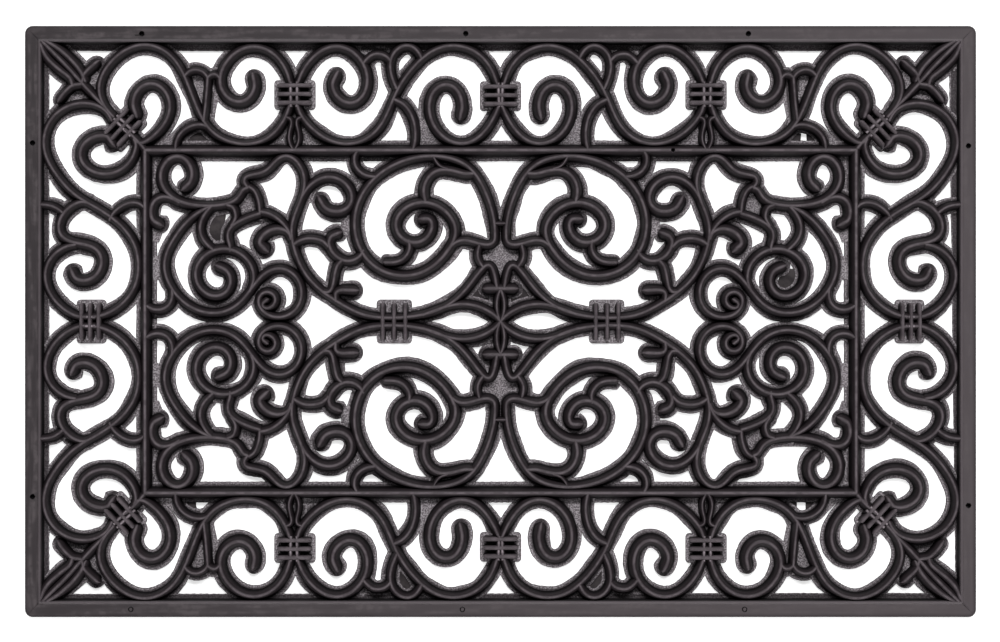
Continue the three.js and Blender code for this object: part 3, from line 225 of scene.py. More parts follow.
PANEL_SWEEP_SHARES = [
  [1, 1, [[0.3, 0.022], [0.3448, 0.0266], [0.368, 0.0325], [0.392, 0.0447], [0.4153, 0.0657],
    [0.4388, 0.0916], [0.462, 0.1194], [0.4858, 0.1512], [0.507, 0.1854], [0.5257, 0.222],
    [0.542, 0.2586], [0.556, 0.3], [0.5669, 0.3465], [0.575, 0.3953], [0.581, 0.439],
    [0.5875, 0.49], [0.588, 0.529], [0.5857, 0.568], [0.581, 0.612], [0.5739, 0.656],
    [0.5657, 0.695], [0.5575, 0.734], [0.5528, 0.773], [0.551, 0.817], [0.554, 0.85],
    [0.5595, 0.88], [0.5655, 0.908], [0.574, 0.935], [0.5845, 0.9534], [0.5986, 0.966],
    [0.6127, 0.966], [0.6268, 0.9534], [0.6385, 0.929], [0.648, 0.902], [0.658, 0.877],
    [0.6724, 0.8626], [0.69, 0.866], [0.706, 0.86], [0.7185, 0.842], [0.7215, 0.813],
    [0.712, 0.7845]]],
  # the curl on its inner side
  [1, 1.3, [[0.5575, 0.734], [0.542, 0.778], [0.5257, 0.812], [0.507, 0.834], [0.4858, 0.844],
    [0.4646, 0.839], [0.4458, 0.82], [0.4294, 0.788], [0.42, 0.749], [0.4188, 0.71],
    [0.4259, 0.676], [0.441, 0.651], [0.46, 0.6415], [0.4787, 0.649], [0.495, 0.671],
    [0.5057, 0.7]]],
  # the leaf's stay, rib and curl
  [1, 1, [[0.59, 0.5], [0.6, 0.539], [0.6126, 0.573], [0.6268, 0.6], [0.6432, 0.622],
    [0.6597, 0.6365], [0.6763, 0.641]]],
  [0.9, 0.9, [[0.6774, 0.641], [0.68, 0.695], [0.6857, 0.734], [0.695, 0.768], [0.7068, 0.7855]]],
  [1, 1.5, [[0.59, 0.485], [0.5974, 0.512], [0.61, 0.534], [0.629, 0.544], [0.648, 0.5365],
    [0.6644, 0.5145], [0.675, 0.48], [0.676, 0.455], [0.67, 0.437]]],
]

PANEL_VOLUTE_SHARES = [
  # the leaf's edge, with the hook into the rail's corner
  [1, 1.3, [[0.7127, 0.781], [0.723, 0.773], [0.7327, 0.754], [0.7397, 0.7245], [0.7468, 0.705],
    [0.7656, 0.688], [0.789, 0.683], [0.824, 0.678], [0.8596, 0.678], [0.885, 0.688],
    [0.911, 0.71], [0.93, 0.739], [0.9465, 0.778], [0.9547, 0.817], [0.957, 0.8583],
    [0.951, 0.897], [0.9407, 0.931], [0.925, 0.958], [0.91, 0.9657], [0.895, 0.958],
    [0.8807, 0.9338], [0.8713, 0.897], [0.868, 0.865], [0.87, 0.8417], [0.877, 0.8124],
    [0.8854, 0.79]]],
  [1, 1.3, [[0.906, 0.697], [0.925, 0.712], [0.94, 0.727], [0.957, 0.727], [0.971, 0.712],
    [0.98, 0.683], [0.984, 0.649], [0.982, 0.615], [0.975, 0.588], [0.966, 0.575]]],
  # the volute and the tight spiral inside it
  [1, 1, [[0.815, 0.672], [0.8337, 0.651], [0.855, 0.632], [0.8737, 0.602], [0.89, 0.568],
    [0.904, 0.529], [0.917, 0.485], [0.928, 0.441], [0.943, 0.4], [0.946, 0.351],
    [0.9447, 0.3025], [0.9395, 0.2586], [0.93, 0.2147], [0.917, 0.171], [0.902, 0.1316],
    [0.883, 0.0999], [0.862, 0.0755], [0.8384, 0.0584], [0.815, 0.0511], [0.791, 0.0535],
    [0.768, 0.0657], [0.7468, 0.0877], [0.728, 0.1219], [0.7127, 0.161], [0.6998, 0.2],
    [0.6857, 0.2366], [0.669, 0.268], [0.655, 0.29], [0.6385, 0.305], [0.6197, 0.31],
    [0.601, 0.3025], [0.5845, 0.2806], [0.5716, 0.249], [0.563, 0.21], [0.561, 0.166],
    [0.563, 0.1268], [0.5727, 0.0877], [0.5868, 0.056], [0.6056, 0.034], [0.6268, 0.0266],
    [0.652, 0.034], [0.672, 0.062], [0.684, 0.105], [0.68, 0.146], [0.667, 0.171], [0.652, 0.176],
    [0.637, 0.161], [0.631, 0.127], [0.637, 0.09], [0.652, 0.07], [0.668, 0.085], [0.669, 0.115],
    [0.658, 0.125]]],
  [1, 1.2, [[0.705, 0.18], [0.6965, 0.239], [0.6965, 0.283], [0.703, 0.332], [0.7186, 0.373],
    [0.7397, 0.405], [0.763, 0.422], [0.7867, 0.4246], [0.81, 0.4124], [0.8314, 0.3855],
    [0.848, 0.349], [0.8568, 0.307], [0.857, 0.2635], [0.851, 0.2196], [0.8396, 0.183],
    [0.822, 0.156], [0.801, 0.1487], [0.782, 0.1585], [0.7667, 0.185], [0.7597, 0.224],
    [0.762, 0.2635], [0.7726, 0.295], [0.79, 0.318]]],
  # the bars that tie the leaf to the spiral
  [1, 1, [[0.6786, 0.63], [0.695, 0.62], [0.7186, 0.601], [0.7397, 0.578], [0.7574, 0.5535],
    [0.767, 0.529], [0.768, 0.5], [0.763, 0.466], [0.7597, 0.437], [0.761, 0.417]]],
  [1, 1, [[0.768, 0.68], [0.7538, 0.666], [0.7468, 0.637], [0.7456, 0.607], [0.7515, 0.578],
    [0.757, 0.56]]],
  [1, 1, [[0.812, 0.676], [0.822, 0.656], [0.8337, 0.622], [0.843, 0.583], [0.8455, 0.549],
    [0.842, 0.505], [0.8314, 0.466], [0.81, 0.42]]],
  # the foot on the rail
  [1, 1, [[0.924, 0.19], [0.925, 0.1365], [0.9336, 0.0999], [0.9477, 0.0755], [0.965, 0.068],
    [0.984, 0.078], [1, 0.0975]]],
]

MEDALLION_FILL_SHARES = [
  [[-0.01, 0.48], [0.03, 0.44], [0.052, 0.41], [0.052, 0.36], [0.02, 0.29], [-0.01, 0.26]],
  [[0.075, 0.86], [0.13, 0.87], [0.19, 0.88], [0.2, 0.96], [0.13, 0.95], [0.09, 0.91]],
  [[0.42, 0.6], [0.45, 0.6], [0.452, 0.52], [0.43, 0.49], [0.42, 0.5]],
]

PANEL_SWEEP_FILL_SHARES = [[[0.69, 0.66], [0.705, 0.78], [0.745, 0.65], [0.72, 0.62]]]

PANEL_VOLUTE_FILL_SHARES = [
  # between the volute and the rail
  [[0.965, 0.385], [0.982, 0.385], [0.982, 0.243], [0.965, 0.243], [0.962, 0.31]],
  [[0.954, 0.525], [0.982, 0.535], [0.982, 0.47], [0.965, 0.462]],
]

# Middles of the ties.
MIDDLE_TIE_SHARES = [0, 1.507]
SECOND_TIE_SHARES = [0.581, 1.518]
CORNER_TIE_SHARES = [1.22, 1.21]
PANEL_TIE_SHARES = [0.3, 0]
SIDE_TIE_SHARES = [1.53, 0]

FRAME_SIDES = ("top", "left", "bottom", "right")  # counter-clockwise

# Pits, as shares of a side's half-length, clockwise from its middle.
RIM_PIT_SHARES = {
    "top": [-0.754, -0.073, 0.521],
    "left": [0.604, -0.592],
    "bottom": [0.777, 0.08, -0.513],
    "right": [-0.594, 0.622],
}
RAIL_PIT_SHARE = 0.485
RAIL_PIT_SIDE = "top"
PLUGGED_SIDE = "bottom"

# Crests that run on under each tie, between its rods.
MIDDLE_TIE_CREST_SHARES = [[[0.006, 1.62], [0.004, 1.4]], [[-0.006, 1.62], [-0.004, 1.4]]]
SECOND_TIE_CREST_SHARES = [[[0.572, 1.63], [0.573, 1.4]], [[0.591, 1.63], [0.59, 1.4]]]
CORNER_TIE_CREST_SHARES = [[[1.14, 1.13], [1.3, 1.29]], [[1.1, 1.16], [1.27, 1.32]]]
SIDE_TIE_CREST_SHARES = [[[1.48, 0.027], [1.6, 0.027]], [[1.48, -0.027], [1.6, -0.027]]]

# More corners that the web fills, in the border and beside the rail.
CORNER_LEAF_FILL_SHARES = [
    [[1.37, 1.45], [1.42, 1.62], [1.47, 1.74], [1.56, 1.73], [1.6, 1.64], [1.5, 1.52]],
    [[1.58, 1.5], [1.64, 1.58], [1.72, 1.56], [1.76, 1.5], [1.7, 1.44]],
]
BORDER_CENTRE_FILL_SHARES = [
    [[0.16, 1.06], [0.19, 1.2], [0.205, 1.33], [0.235, 1.25], [0.24, 1.05]],
    [[0.364, 1.9], [0.366, 1.97], [0.41, 1.97], [0.402, 1.9], [0.388, 1.86]],
    [[0.475, 1.03], [0.51, 1.12], [0.545, 1.23], [0.575, 1.2], [0.575, 1.03]],
    [[0.562, 1.3], [0.571, 1.2], [0.575, 1.02], [0.588, 1.02], [0.592, 1.2], [0.6, 1.3]],
]
CORNER_TOP_FILL_SHARES = [
    [[0.922, 1.19], [0.93, 1.03], [0.98, 1.03], [0.95, 1.1]],
    [[0.83, 1.69], [0.85, 1.72], [0.88, 1.66], [0.864, 1.5], [0.848, 1.36], [0.836, 1.3],
     [0.83, 1.5]],
    [[0.796, 1.5], [0.803, 1.63], [0.809, 1.5], [0.815, 1.3], [0.811, 1.27], [0.806, 1.35]],
]

# Thin films that only some of the quarters have: in a loop, beside the spindle, in the volute's
# middle and in the corner's arch.
SPINDLE_FILM_SHARES = [[[0.02, 0.11], [0.02, 0.24], [0.05, 0.25], [0.1, 0.12]]]
BORDER_LOOP_FILM_SHARES = [
    [[0.235, 1.87], [0.25, 1.92], [0.27, 1.93], [0.295, 1.87], [0.3, 1.78], [0.292, 1.66],
     [0.27, 1.75]],
]
QUARTER_FILM_SHARES = {
    "look_medallion_top_left": SPINDLE_FILM_SHARES,
    "look_medallion_top_right": SPINDLE_FILM_SHARES,
    "look_border_centre_scroll_bottom_left": BORDER_LOOP_FILM_SHARES,
    "look_border_centre_scroll_bottom_right": BORDER_LOOP_FILM_SHARES,
    "look_panel_volute_top_right": [
        [[0.775, 0.2], [0.8, 0.18], [0.83, 0.2], [0.845, 0.26], [0.83, 0.31], [0.8, 0.31],
         [0.79, 0.27]],
    ],
    "look_panel_volute_top_left": [
        [[0.775, 0.64], [0.8, 0.66], [0.825, 0.62], [0.835, 0.55], [0.825, 0.48], [0.8, 0.45],
         [0.775, 0.47], [0.78, 0.56]],
    ],
    "look_corner_top_sweep_top_left": [
        [[0.8, 1.04], [0.812, 1.16], [0.84, 1.22], [0.87, 1.21], [0.895, 1.15], [0.912, 1.04]],
    ],
    "look_corner_top_sweep_top_right": [
        [[0.8, 1.04], [0.812, 1.12], [0.835, 1.18], [0.85, 1.16], [0.847, 1.04]],
        [[0.866, 1.04], [0.864, 1.16], [0.88, 1.19], [0.9, 1.12], [0.912, 1.04]],
    ],
    "look_corner_top_sweep_bottom_right": [
        [[0.8, 1.04], [0.812, 1.12], [0.835, 1.18], [0.838, 1.12], [0.836, 1.04]],
        [[0.862, 1.04], [0.862, 1.16], [0.88, 1.19], [0.9, 1.12], [0.912, 1.04]],
    ],
    "look_corner_top_sweep_bottom_left": [
        [[0.86, 1.04], [0.86, 1.13], [0.85, 1.2], [0.88, 1.19], [0.9, 1.12], [0.912, 1.04]],
    ],
}

NOSE_ANGLES = np.radians([20, 40, 58, 74, 86])  # of the sections along a rounded end

# How finely the surfaces are cut.
STATION_STEP = 0.0012
LEAST_STEPS = 4  # along a bar
CURVE_SAMPLES = 24  # between two points of a crest
RIDGE_POINTS = 16  # in a bar's section
LEAST_OUTLINE_PAIRS = 6  # of points around a film
RIM_STEP = 0.005
PIT_STEP = 0.0003
PIT_REACH_STEPS = 8
MITRE_STEPS = 5  # of a frame's rounded corner, on each side of the mitre
PLATE_CORNER_STEPS = 5  # of a tie plate's rounded corner
LEAST_ROUNDING = 0.00005  # so that no two points coincide

# How a crest's curve is evened out.
EVENING_WEIGHT = 3  # how much the evenness of a bend counts against its points
END_WEIGHT = 1000  # how much more the two ends count
LEAST_EVENED = 7  # points that a crest has to have for it
BEND_WINDOW = 11  # sections over which a bend is averaged

# How sizes wander along a piece and vary from one to the next.
WAVE_COUNT = 5
WAVE_SPREAD = (0.5, 1.9)  # of the sines' lengths, as shares of the common one
SWELL_LENGTH = 0.045
RAGGED_LENGTH = 0.005
UNEVEN_LENGTH = 0.02
UNEVEN_SHARE = 0.05  # of the web's thickness
BAR_VARIATION = 0.03
WEB_VARIATION = 0.04
FILM_VARIATION = 0.05

STUB_NOSE = 0.0001
LEDGE_NOSE = 0.0005
PLATE_CORNER_RADIUS = 0.003
SOLE = 0.0003  # how high the rail's and the stubs' feet are

# Shares of a size that give the sections their form.
RIDGE_POWER = 1.75  # of the bars, whose sides fall away from a narrow crest
ROD_POWER = 2.7
CORE_POWER = 9
NOSE_POWER = 1.5
INNER_BEND_SHARE = 0.86
BAR_BEND_POWER = 4.0
WEB_BEND_POWER = 2.4
CORE_HEIGHT_SHARE = 0.4
STUB_HEIGHT_SHARE = 0.97
BAR_CROWN = 1  # how the paler crest (wear and painted highlight) spreads over a bar, and over a rod's rounder top
ROD_CROWN = 4
CORE_CROWN = 0  # none of it: the whole core takes the bars' painted foot shade
CREST_PLACE = 0.5  # the crest's place across a bar, whose feet are at 0 and 1
BAR_FOOT_SHARE = 0.03
JOINED_NOSE_SHARE = 0.45
PIT_WALL_SHARE = 0.1

# Sections: places across, as shares of the width or the reach, and the heights there.
WEB_ACROSS_SHARES = np.array([1, 0.985, 0.93, 0.72, 0.4, 0.12])
WEB_HEIGHT_SHARES = np.array([0, 0.72, 1, 1, 1.02, 1])
FILM_RING_SHARES = np.array([0.04, 0.3, 0.6, 0.93, 0.99, 1, 0.04])
FILM_HEIGHT_SHARES = np.array([1.03, 1.03, 1.03, 1.03, 0.7, 0, 0])
FILM_ACROSS_SHARES = np.array([0.94, 0.94, 0.94, 0.94, 0.985, 1, 0.94])  # of the web, which lays the web's painted edge shade along the outline
RIM_KNOT_SHARES = np.array([0, 0.02, 0.07, 0.83, 0.88, 0.91, 0.95, 1, 1.12, 1.16])
RIM_KNOT_HEIGHT_SHARES = np.array([0.84, 0.96, 1, 1, 1.05, 1.07, 1.05, 0.96, 0.16, 0.1])
RIM_FLAT_SHARES = np.linspace(0.09, 0.8, 25)  # more lines over the flat top, for the pits
RAIL_KNOT_SHARES = np.array([-1, -0.9, -0.6, -0.35, -0.2, 0, 0.2, 0.35, 0.6, 0.9, 1])
RAIL_KNOT_HEIGHT_SHARES = np.array([0.1, 0.3, 0.68, 0.92, 0.985, 1, 0.985, 0.92, 0.68, 0.3, 0.1])
RAIL_ACROSS_SHARES = np.cos(np.linspace(np.pi, 0, 26))

# How far the rim's web reaches in from it at each side's two ends, counter-clockwise, as shares of
# the rim's width.
LEDGE_SHARES = {
    "top": [0.54, 0.52],
    "left": [0.42, 0.42],
    "bottom": [0.4, 0.46],
    "right": [0.17, 0.6],
}

SIDE_NAMES = {1: "right", -1: "left"}
END_NAMES = {1: "top", -1: "bottom"}
SHARP_ANGLE = np.radians(55)
BODY_SLOT = 0
WEB_SLOT = 1
PIT_SLOT = 2
FILM_SLOT = 2
# The glint slot carries a painted highlight.
GLINT_SLOT = 2
CORNER_TIE_TURN = np.radians(-47)
SIDE_TIE_TURN = np.pi / 2

# The sockets for colours of a mix node.
MIX_COLOUR_INPUTS = (6, 7)
MIX_COLOUR_OUTPUT = 2

# Noises: scale, detail and roughness.
BLOTCH_NOISE = (130, 3, 0.55)
SPECK_NOISE = (900, 2, 0.6)
FINE_NOISE = (1600, 2, 0.6)
STREAK_NOISE = (22, 3, 0.5)
STREAK_STRETCH = (1, 9, 1)

# Masks: the two ends of a range, and what they become. The range is of a noise, of the distance
# from the crest, which is 0.5 at the foot, or of what the camera sees.
BLOTCH_MASK = (0.35, 0.65, 0, 1)
SPECK_MASK = (0.42, 0.6, 0, 1)
# Paler crest of a bar, partly wear and partly a painted highlight.
BAR_CREST_WEAR_AND_HIGHLIGHT = (0, 0.17, 1, 0)
BAR_PATCHES = (0, 1, 0.6, 1)
# Painted shade at a bar's foot.
BAR_FOOT_SHADE = (0.22, 0.4, 0, 1)
BAR_ROUGHNESS = (0, 1, 0.45, 0.6)
WEB_DARK_SPECKS = (0, 0.6, 0.75, 0)
WEB_PALE_SPECKS = (0.75, 1, 0, 0.5)
# Painted shade on the web beside the bar.
WEB_BAR_SHADE = (0.31, 0.44, 0.8, 0)
# Painted shade along the web's rounded edge.
WEB_EDGE_SHADE = (0.46, 0.495, 0, 1)
RIM_STREAKS = (0.38, 0.68, 0, 1)
RIM_PATCHES = (0, 1, 0.2, 0.9)
RIM_ROUGHNESS = (0.3, 0.7, 0.5, 0.65)
FLOOR_GLOW = (0, 1, 0, 0.6)

# The same, over the mat's length, and over the rim's width from its outer edge.
# Painted shade, fading out from the top left corner.
RIM_SHADE_FADE = (-0.57, 0.57, 0, 1)
# Painted shade towards the rim's rounded outer edge.
RIM_EDGE_SHADE = (-0.02, 0.32, 0.8, 0)
# Painted highlight on the bead along the inner edge.
RIM_BEAD_HIGHLIGHT = (0.84, 0.92, 0, 0.6)
# Painted black shade on the rim's inner flank.
RIM_FLANK_SHADE = (0.985, 1.05, 0, 1)
RIM_SLANT = 0.5  # of the painted shade's fade from one corner to the other

# Shine, and the strength and depth of the bumps.
WEB_ROUGHNESS = 0.85
FILM_ROUGHNESS = 0.6
BAR_SHINE = 0.12
WEB_SHINE = 0.2
FILM_SHINE = 0.2
RIM_SHINE = 0.3
BAR_BUMP = (0.25, 0.0001)
WEB_BUMP = (0.7, 0.0003)
FILM_BUMP = (0.2, 0.0001)
RIM_BUMP = (0.35, 0.00015)

# The stage.
FLOOR_HALF_SIZE = 12
FLOOR_DROP = 0.0002
LAMP_PLACE = (0.3, 3.5, 3.4)
LAMP_SIZE = (3.6, 0.6)
LAMP_POWER = 240
FILL_PLACE = (0, -3.3, 1.5)
FILL_SIZE = (5, 0.8)
FILL_POWER = 130
ROOM_LIGHT = 0.1
CAMERA_PLACE = (-0.0004, 0.0004, 1.6)
CAMERA_LENS = 73.7
CAMERA_SENSOR = 36


def length_slider(name, text, value):
    """A length property, in metres."""
    return bpy.props.FloatProperty(name=name, description=text, default=value, min=0, unit="LENGTH")


def colour_slider(name, text, value):
    """A colour property, as linear red, green and blue."""
    return bpy.props.FloatVectorProperty(
        name=name, description=text, default=value, min=0, max=1, subtype="COLOR"
    )


class DoormatSizes(bpy.types.PropertyGroup):
    """Sizes of the mat and of its members."""

    mat_length: length_slider("Length", "Length of the mat", 0.74)
    mat_width: length_slider("Width", "Width of the mat", 0.46)
    rim_width: length_slider("Rim width", "Width of the flat outer rim", 0.0123)
    rim_height: length_slider("Rim height", "Height of the rim's flat top", 0.0084)
    corner_radius: length_slider("Corner radius", "Rounding of the rim's outer corners", 0.006)
    end_band: length_slider("End band", "From the rail's crest to the rim at the ends", 0.0812)
    side_band: length_slider("Side band", "From the rail's crest to the rim at the sides", 0.0844)
    rail_half_width: length_slider("Rail half-width", "Half the width of the inner rail", 0.0048)
    bar_height: length_slider("Bar height", "Height of the bars' crests", 0.009)
    bar_half_width: length_slider("Bar half-width", "Half the width of a bar", 0.0044)
    web_thickness: length_slider("Web thickness", "Thickness of the thin web", 0.0012)
    film_thickness: length_slider("Film thickness", "Thickness of the films in some loops", 0.0008)
    web_ledge: length_slider("Web ledge", "How far the web reaches beyond a bar", 0.0028)
    web_swell: length_slider("Web swell", "How much the web widens and narrows", 0.0006)
    web_raggedness: length_slider("Web raggedness", "How ragged the web's edge is", 0.00012)
    rod_width: length_slider("Rod width", "Width of a tie's rods", 0.0051)
    rod_spacing: length_slider("Rod spacing", "Distance between a tie's rods", 0.0067)
    panel_rod_spacing: length_slider("Panel rod spacing", "The same in the panel's ties", 0.0088)
    rod_length: length_slider("Rod length", "Length of a tie's rods", 0.0275)
    long_rod_length: length_slider("Long rod length", "Length of the long ties' rods", 0.0294)
    rod_height: length_slider("Rod height", "Height of the rods' tops", 0.0098)
    plate_margin: length_slider("Plate margin", "How far a tie's plate shows around it", 0.0025)
    pit_diameter: length_slider("Pit diameter", "Width of the rim's small pits", 0.0038)
    pit_depth: length_slider("Pit depth", "Depth of the rim's small pits", 0.0024)
    plug_drop: length_slider("Plug drop", "How low the plugs of the bottom side's pits sit", 0.0004)
    rail_pit_diameter: length_slider("Rail pit diameter", "Width of the rail's one pit", 0.003)


class DoormatColours(bpy.types.PropertyGroup):
    """Colours of the rubber and of the stage."""

    # The rubber's own colour, also laid on as painted shade beside the bars, along the web's edge
    # and at the rim's outer edge.
    rubber: colour_slider("Rubber", "Flanks of the bars", (0.021, 0.0162, 0.0186))
    # Painted shade at the bars' feet, on the ties' cores, in the pits and on the rim's inner flank.
    foot: colour_slider("Foot", "Deepest parts, at the bars' feet", (0.003, 0.0023, 0.0028))
    # Paler crests of the bars, partly wear and partly a painted highlight; also the rim bead's
    # painted highlight.
    crest: colour_slider("Crest", "Worn crests of the bars", (0.122, 0.103, 0.113))
    # Paler crest of the rail, partly wear and partly a painted highlight.
    rail_crest: colour_slider("Rail crest", "Worn crest of the rail", (0.144, 0.122, 0.134))
    # Painted highlight on the crests under the ties' rods.
    glint: colour_slider("Glint", "Crests between the rods of a tie", (0.32, 0.275, 0.3))
    web: colour_slider("Web", "Matt web around the bars", (0.28, 0.25, 0.268))
    web_speck: colour_slider("Web specks", "Dark specks in the web", (0.06, 0.05, 0.056))
    web_spark: colour_slider("Web sparks", "Pale specks in the web", (0.52, 0.49, 0.51))
    film: colour_slider("Film", "Thin films in some loops", (0.062, 0.053, 0.055))
    rim: colour_slider("Rim", "Flat top of the rim", (0.078, 0.0655, 0.0705))
    # Painted shade of the rim towards its top left corner; also the dark blotches of the films.
    rim_dark: colour_slider("Dark rim", "The same at the top left corner", (0.035, 0.029, 0.0317))
    rim_scuff: colour_slider("Rim scuffs", "Streaks along the rim", (0.09, 0.076, 0.081))
    floor: colour_slider("Floor", "Floor under the mat", (0.9, 0.9, 0.9))


def field_halves(sizes):
    """Half-sizes along x and y: those of the rim's inner edge, and those of the rail's crest."""
    rim_x = sizes.mat_length / 2 - sizes.rim_width
    rim_y = sizes.mat_width / 2 - sizes.rim_width
    return (rim_x, rim_y), (rim_x - sizes.end_band, rim_y - sizes.side_band)


def field_place(share, rim, rail):
    """Place on one axis: straight from the middle to the rail's crest, then straight to the rim."""
    size = np.abs(share)
    return np.sign(share) * np.where(size <= 1, size * rail, rail + (size - 1) * (rim - rail))


def field_points(shares, sizes):
    """Points in metres from points in field shares."""
    points = np.array(shares, dtype=float)
    axes = zip(points.T, *field_halves(sizes))
    return np.stack([field_place(share, rim, rail) for share, rim, rail in axes], axis=1)


def frame_sides(half_x, half_y):
    """The four sides of a frame of these half-sizes: name, half-length, distance from the middle
    and turn."""
    for quarter, side in enumerate(FRAME_SIDES):
        along, across = (half_y, half_x) if quarter % 2 else (half_x, half_y)
        yield side, along, across, quarter * np.pi / 2


def wander(along, rng, wavelength, size):
    """A smooth random line: twice the size times the mean of some sines of random length and
    phase."""
    waves = 2 * np.pi / (wavelength * rng.uniform(*WAVE_SPREAD, (WAVE_COUNT, 1)))
    phases = rng.uniform(0, 2 * np.pi, (WAVE_COUNT, 1))
    return size * np.sin(waves * along + phases).mean(axis=0) * 2


def evened(points):
    """The points with their small jitter taken out. They are the places that make the least sum of
    the squared distances to the given points and of the squared fourth differences, times a weight;
    the ends count so much that they stay where they are."""
    count = len(points)
    if count < LEAST_EVENED:
        return points
    fourth = np.diff(np.eye(count), 4, axis=0)
    hold = np.eye(count)
    hold[0, 0] = END_WEIGHT
    hold[-1, -1] = END_WEIGHT
    return np.linalg.solve(hold + EVENING_WEIGHT * fourth.T @ fourth, hold @ points)


def lengths_along(points):
    """How far each point lies from the first, along the chords."""
    return np.concatenate([[0], np.cumsum(np.linalg.norm(np.diff(points, axis=0), axis=1))])


def cut_again(along, length, points):
    """Places at these distances along a line of points, which is straight between them."""
    return np.stack([np.interp(along, length, points[:, axis]) for axis in (0, 1)], axis=1)


def crest_line(points):
    """A curve through the evened points, cut again into equal steps. It is the cubic spline of the
    distance along the chords: its second derivatives solve the usual three-term equations and are
    zero at both ends. Gives places, directions, distances and the bend, which is the turn per
    metre, averaged over some sections."""
    knots = evened(points)
    gaps = np.linalg.norm(np.diff(knots, axis=0), axis=1)
    slopes = np.diff(knots, axis=0) / gaps[:, None]
    inner = np.arange(1, len(knots) - 1)
    system = np.eye(len(knots))
    system[inner, inner - 1] = gaps[:-1]
    system[inner, inner] = 2 * (gaps[:-1] + gaps[1:])
    system[inner, inner + 1] = gaps[1:]
    turns = np.zeros(knots.shape)
    turns[inner] = 6 * np.diff(slopes, axis=0)
    second = np.linalg.solve(system, turns)
    after = np.linspace(0, 1, CURVE_SAMPLES, endpoint=False)[None, :, None]
    before = 1 - after
    straight_part = before * knots[:-1, None] + after * knots[1:, None]
    curved_part = (before**3 - before) * second[:-1, None] + (after**3 - after) * second[1:, None]
    fine = (straight_part + curved_part * gaps[:, None, None] ** 2 / 6).reshape(-1, 2)
    fine = np.concatenate([fine, knots[-1:]])
    length = lengths_along(fine)
    count = max(int(round(length[-1] / STATION_STEP)), LEAST_STEPS) + 1
    along = np.linspace(0, length[-1], count)
    place = cut_again(along, length, fine)
    direction = np.gradient(place, axis=0)
    direction /= np.linalg.norm(direction, axis=1)[:, None]
    angle = np.unwrap(np.arctan2(direction[:, 1], direction[:, 0]))
    padded = np.pad(np.gradient(angle, along), BEND_WINDOW // 2, mode="edge")
    bend = np.convolve(padded, np.ones(BEND_WINDOW) / BEND_WINDOW, mode="valid")
    return place, direction, along, bend


def straight(start, end):
    """A straight line cut into equal steps, as places, directions, distances and no bend."""
    start = np.array(start, dtype=float)
    end = np.array(end, dtype=float)
    length = np.linalg.norm(end - start)
    count = max(int(length / STATION_STEP), LEAST_STEPS) + 1
    along = np.linspace(0, length, count)
    direction = np.repeat(((end - start) / length)[None], count, 0)
    return start + direction * along[:, None], direction, along, np.zeros(count)


def with_noses(line, start_reach, end_reach):
    """The line run on straight beyond both ends, with sections closer together towards the tips.
    Adds to it how full each section is: 1 along the line, and a circle's height along a nose."""
    place, direction, along, bend = line
    forward = np.sin(NOSE_ANGLES)[:, None]
    fullness = np.cos(NOSE_ANGLES)
    count = len(NOSE_ANGLES)
    before = place[0] - direction[0] * start_reach * forward[::-1]
    after = place[-1] + direction[-1] * end_reach * forward
    along_before = along[0] - start_reach * forward[::-1, 0]
    along_after = along[-1] + end_reach * forward[:, 0]
    return (
        np.concatenate([before, place, after]),
        np.pad(direction, ((count, count), (0, 0)), mode="edge"),
        np.concatenate([along_before, along, along_after]),
        np.pad(bend, count),
        np.concatenate([fullness[::-1], np.ones(len(place)), fullness]),
    )


def side_reach(half_width, bend, side, power):
    """Half-width on one side (1 left, -1 right), held short of the bend's centre where that lies on
    this side. Its limits are the half-width itself and a share of the bend's radius. One over it,
    raised to a power, is the sum of one over each limit raised to the same power."""
    inward = np.maximum(bend * side, 0) / INNER_BEND_SHARE
    return (half_width**-power + inward**power) ** (-1 / power)


def swept(line, across, heights, left, right, foot):
    """Rings of a section carried along a line: across runs from 1 on the left to -1 on the right,
    and each side is stretched to its own reach; heights are those of the section above the foot."""
    place, direction = line[0], line[1]
    normal = np.stack([-direction[:, 1], direction[:, 0]], axis=1)
    reach = np.where(across[None, :] >= 0, left[:, None], right[:, None])
    offset = across[None, :] * reach
    flat = place[:, None, :] + normal[:, None, :] * offset[:, :, None]
    return np.concatenate([flat, (foot + heights)[:, :, None]], axis=2)


def strip(rings, uv, slot):
    """Closed skin through rings of points: quads from each ring to the next, and quads across the
    two end rings. It is turned outward by the sign of the volume it encloses."""
    count, around = rings.shape[:2]
    index = np.arange(count * around).reshape(count, around)
    turned = np.roll(index, -1, axis=1)
    sides = np.stack([index[:-1], index[1:], turned[1:], turned[:-1]], axis=-1).reshape(-1, 4)
    first = np.arange(around // 2 - 1)
    cap = np.stack([first, first + 1, around - 2 - first, around - 1 - first], axis=-1)
    quads = np.concatenate([sides, cap, cap[:, ::-1] + (count - 1) * around])
    points = rings.reshape(-1, 3)
    a, b, c, d = (points[quads[:, k]] - points.mean(axis=0) for k in range(4))
    volume = (np.cross(a, b) * c).sum() + (np.cross(a, c) * d).sum()
    if volume < 0:
        quads = quads[:, ::-1]
    return points, quads, uv.reshape(-1, 2), np.full(len(quads), slot)


def grid(along, across):
    """The place along and across of each point of a swept section."""
    return np.stack(np.broadcast_arrays(along[:, None], across[None, :]), axis=2)


def mirrored(surface, sign_x, sign_y):
    """The surface in another quarter of the mat."""
    points, quads, uv, slots = surface
    turned = quads if sign_x * sign_y > 0 else quads[:, ::-1]
    return points * np.array([sign_x, sign_y, 1]), turned, uv, slots


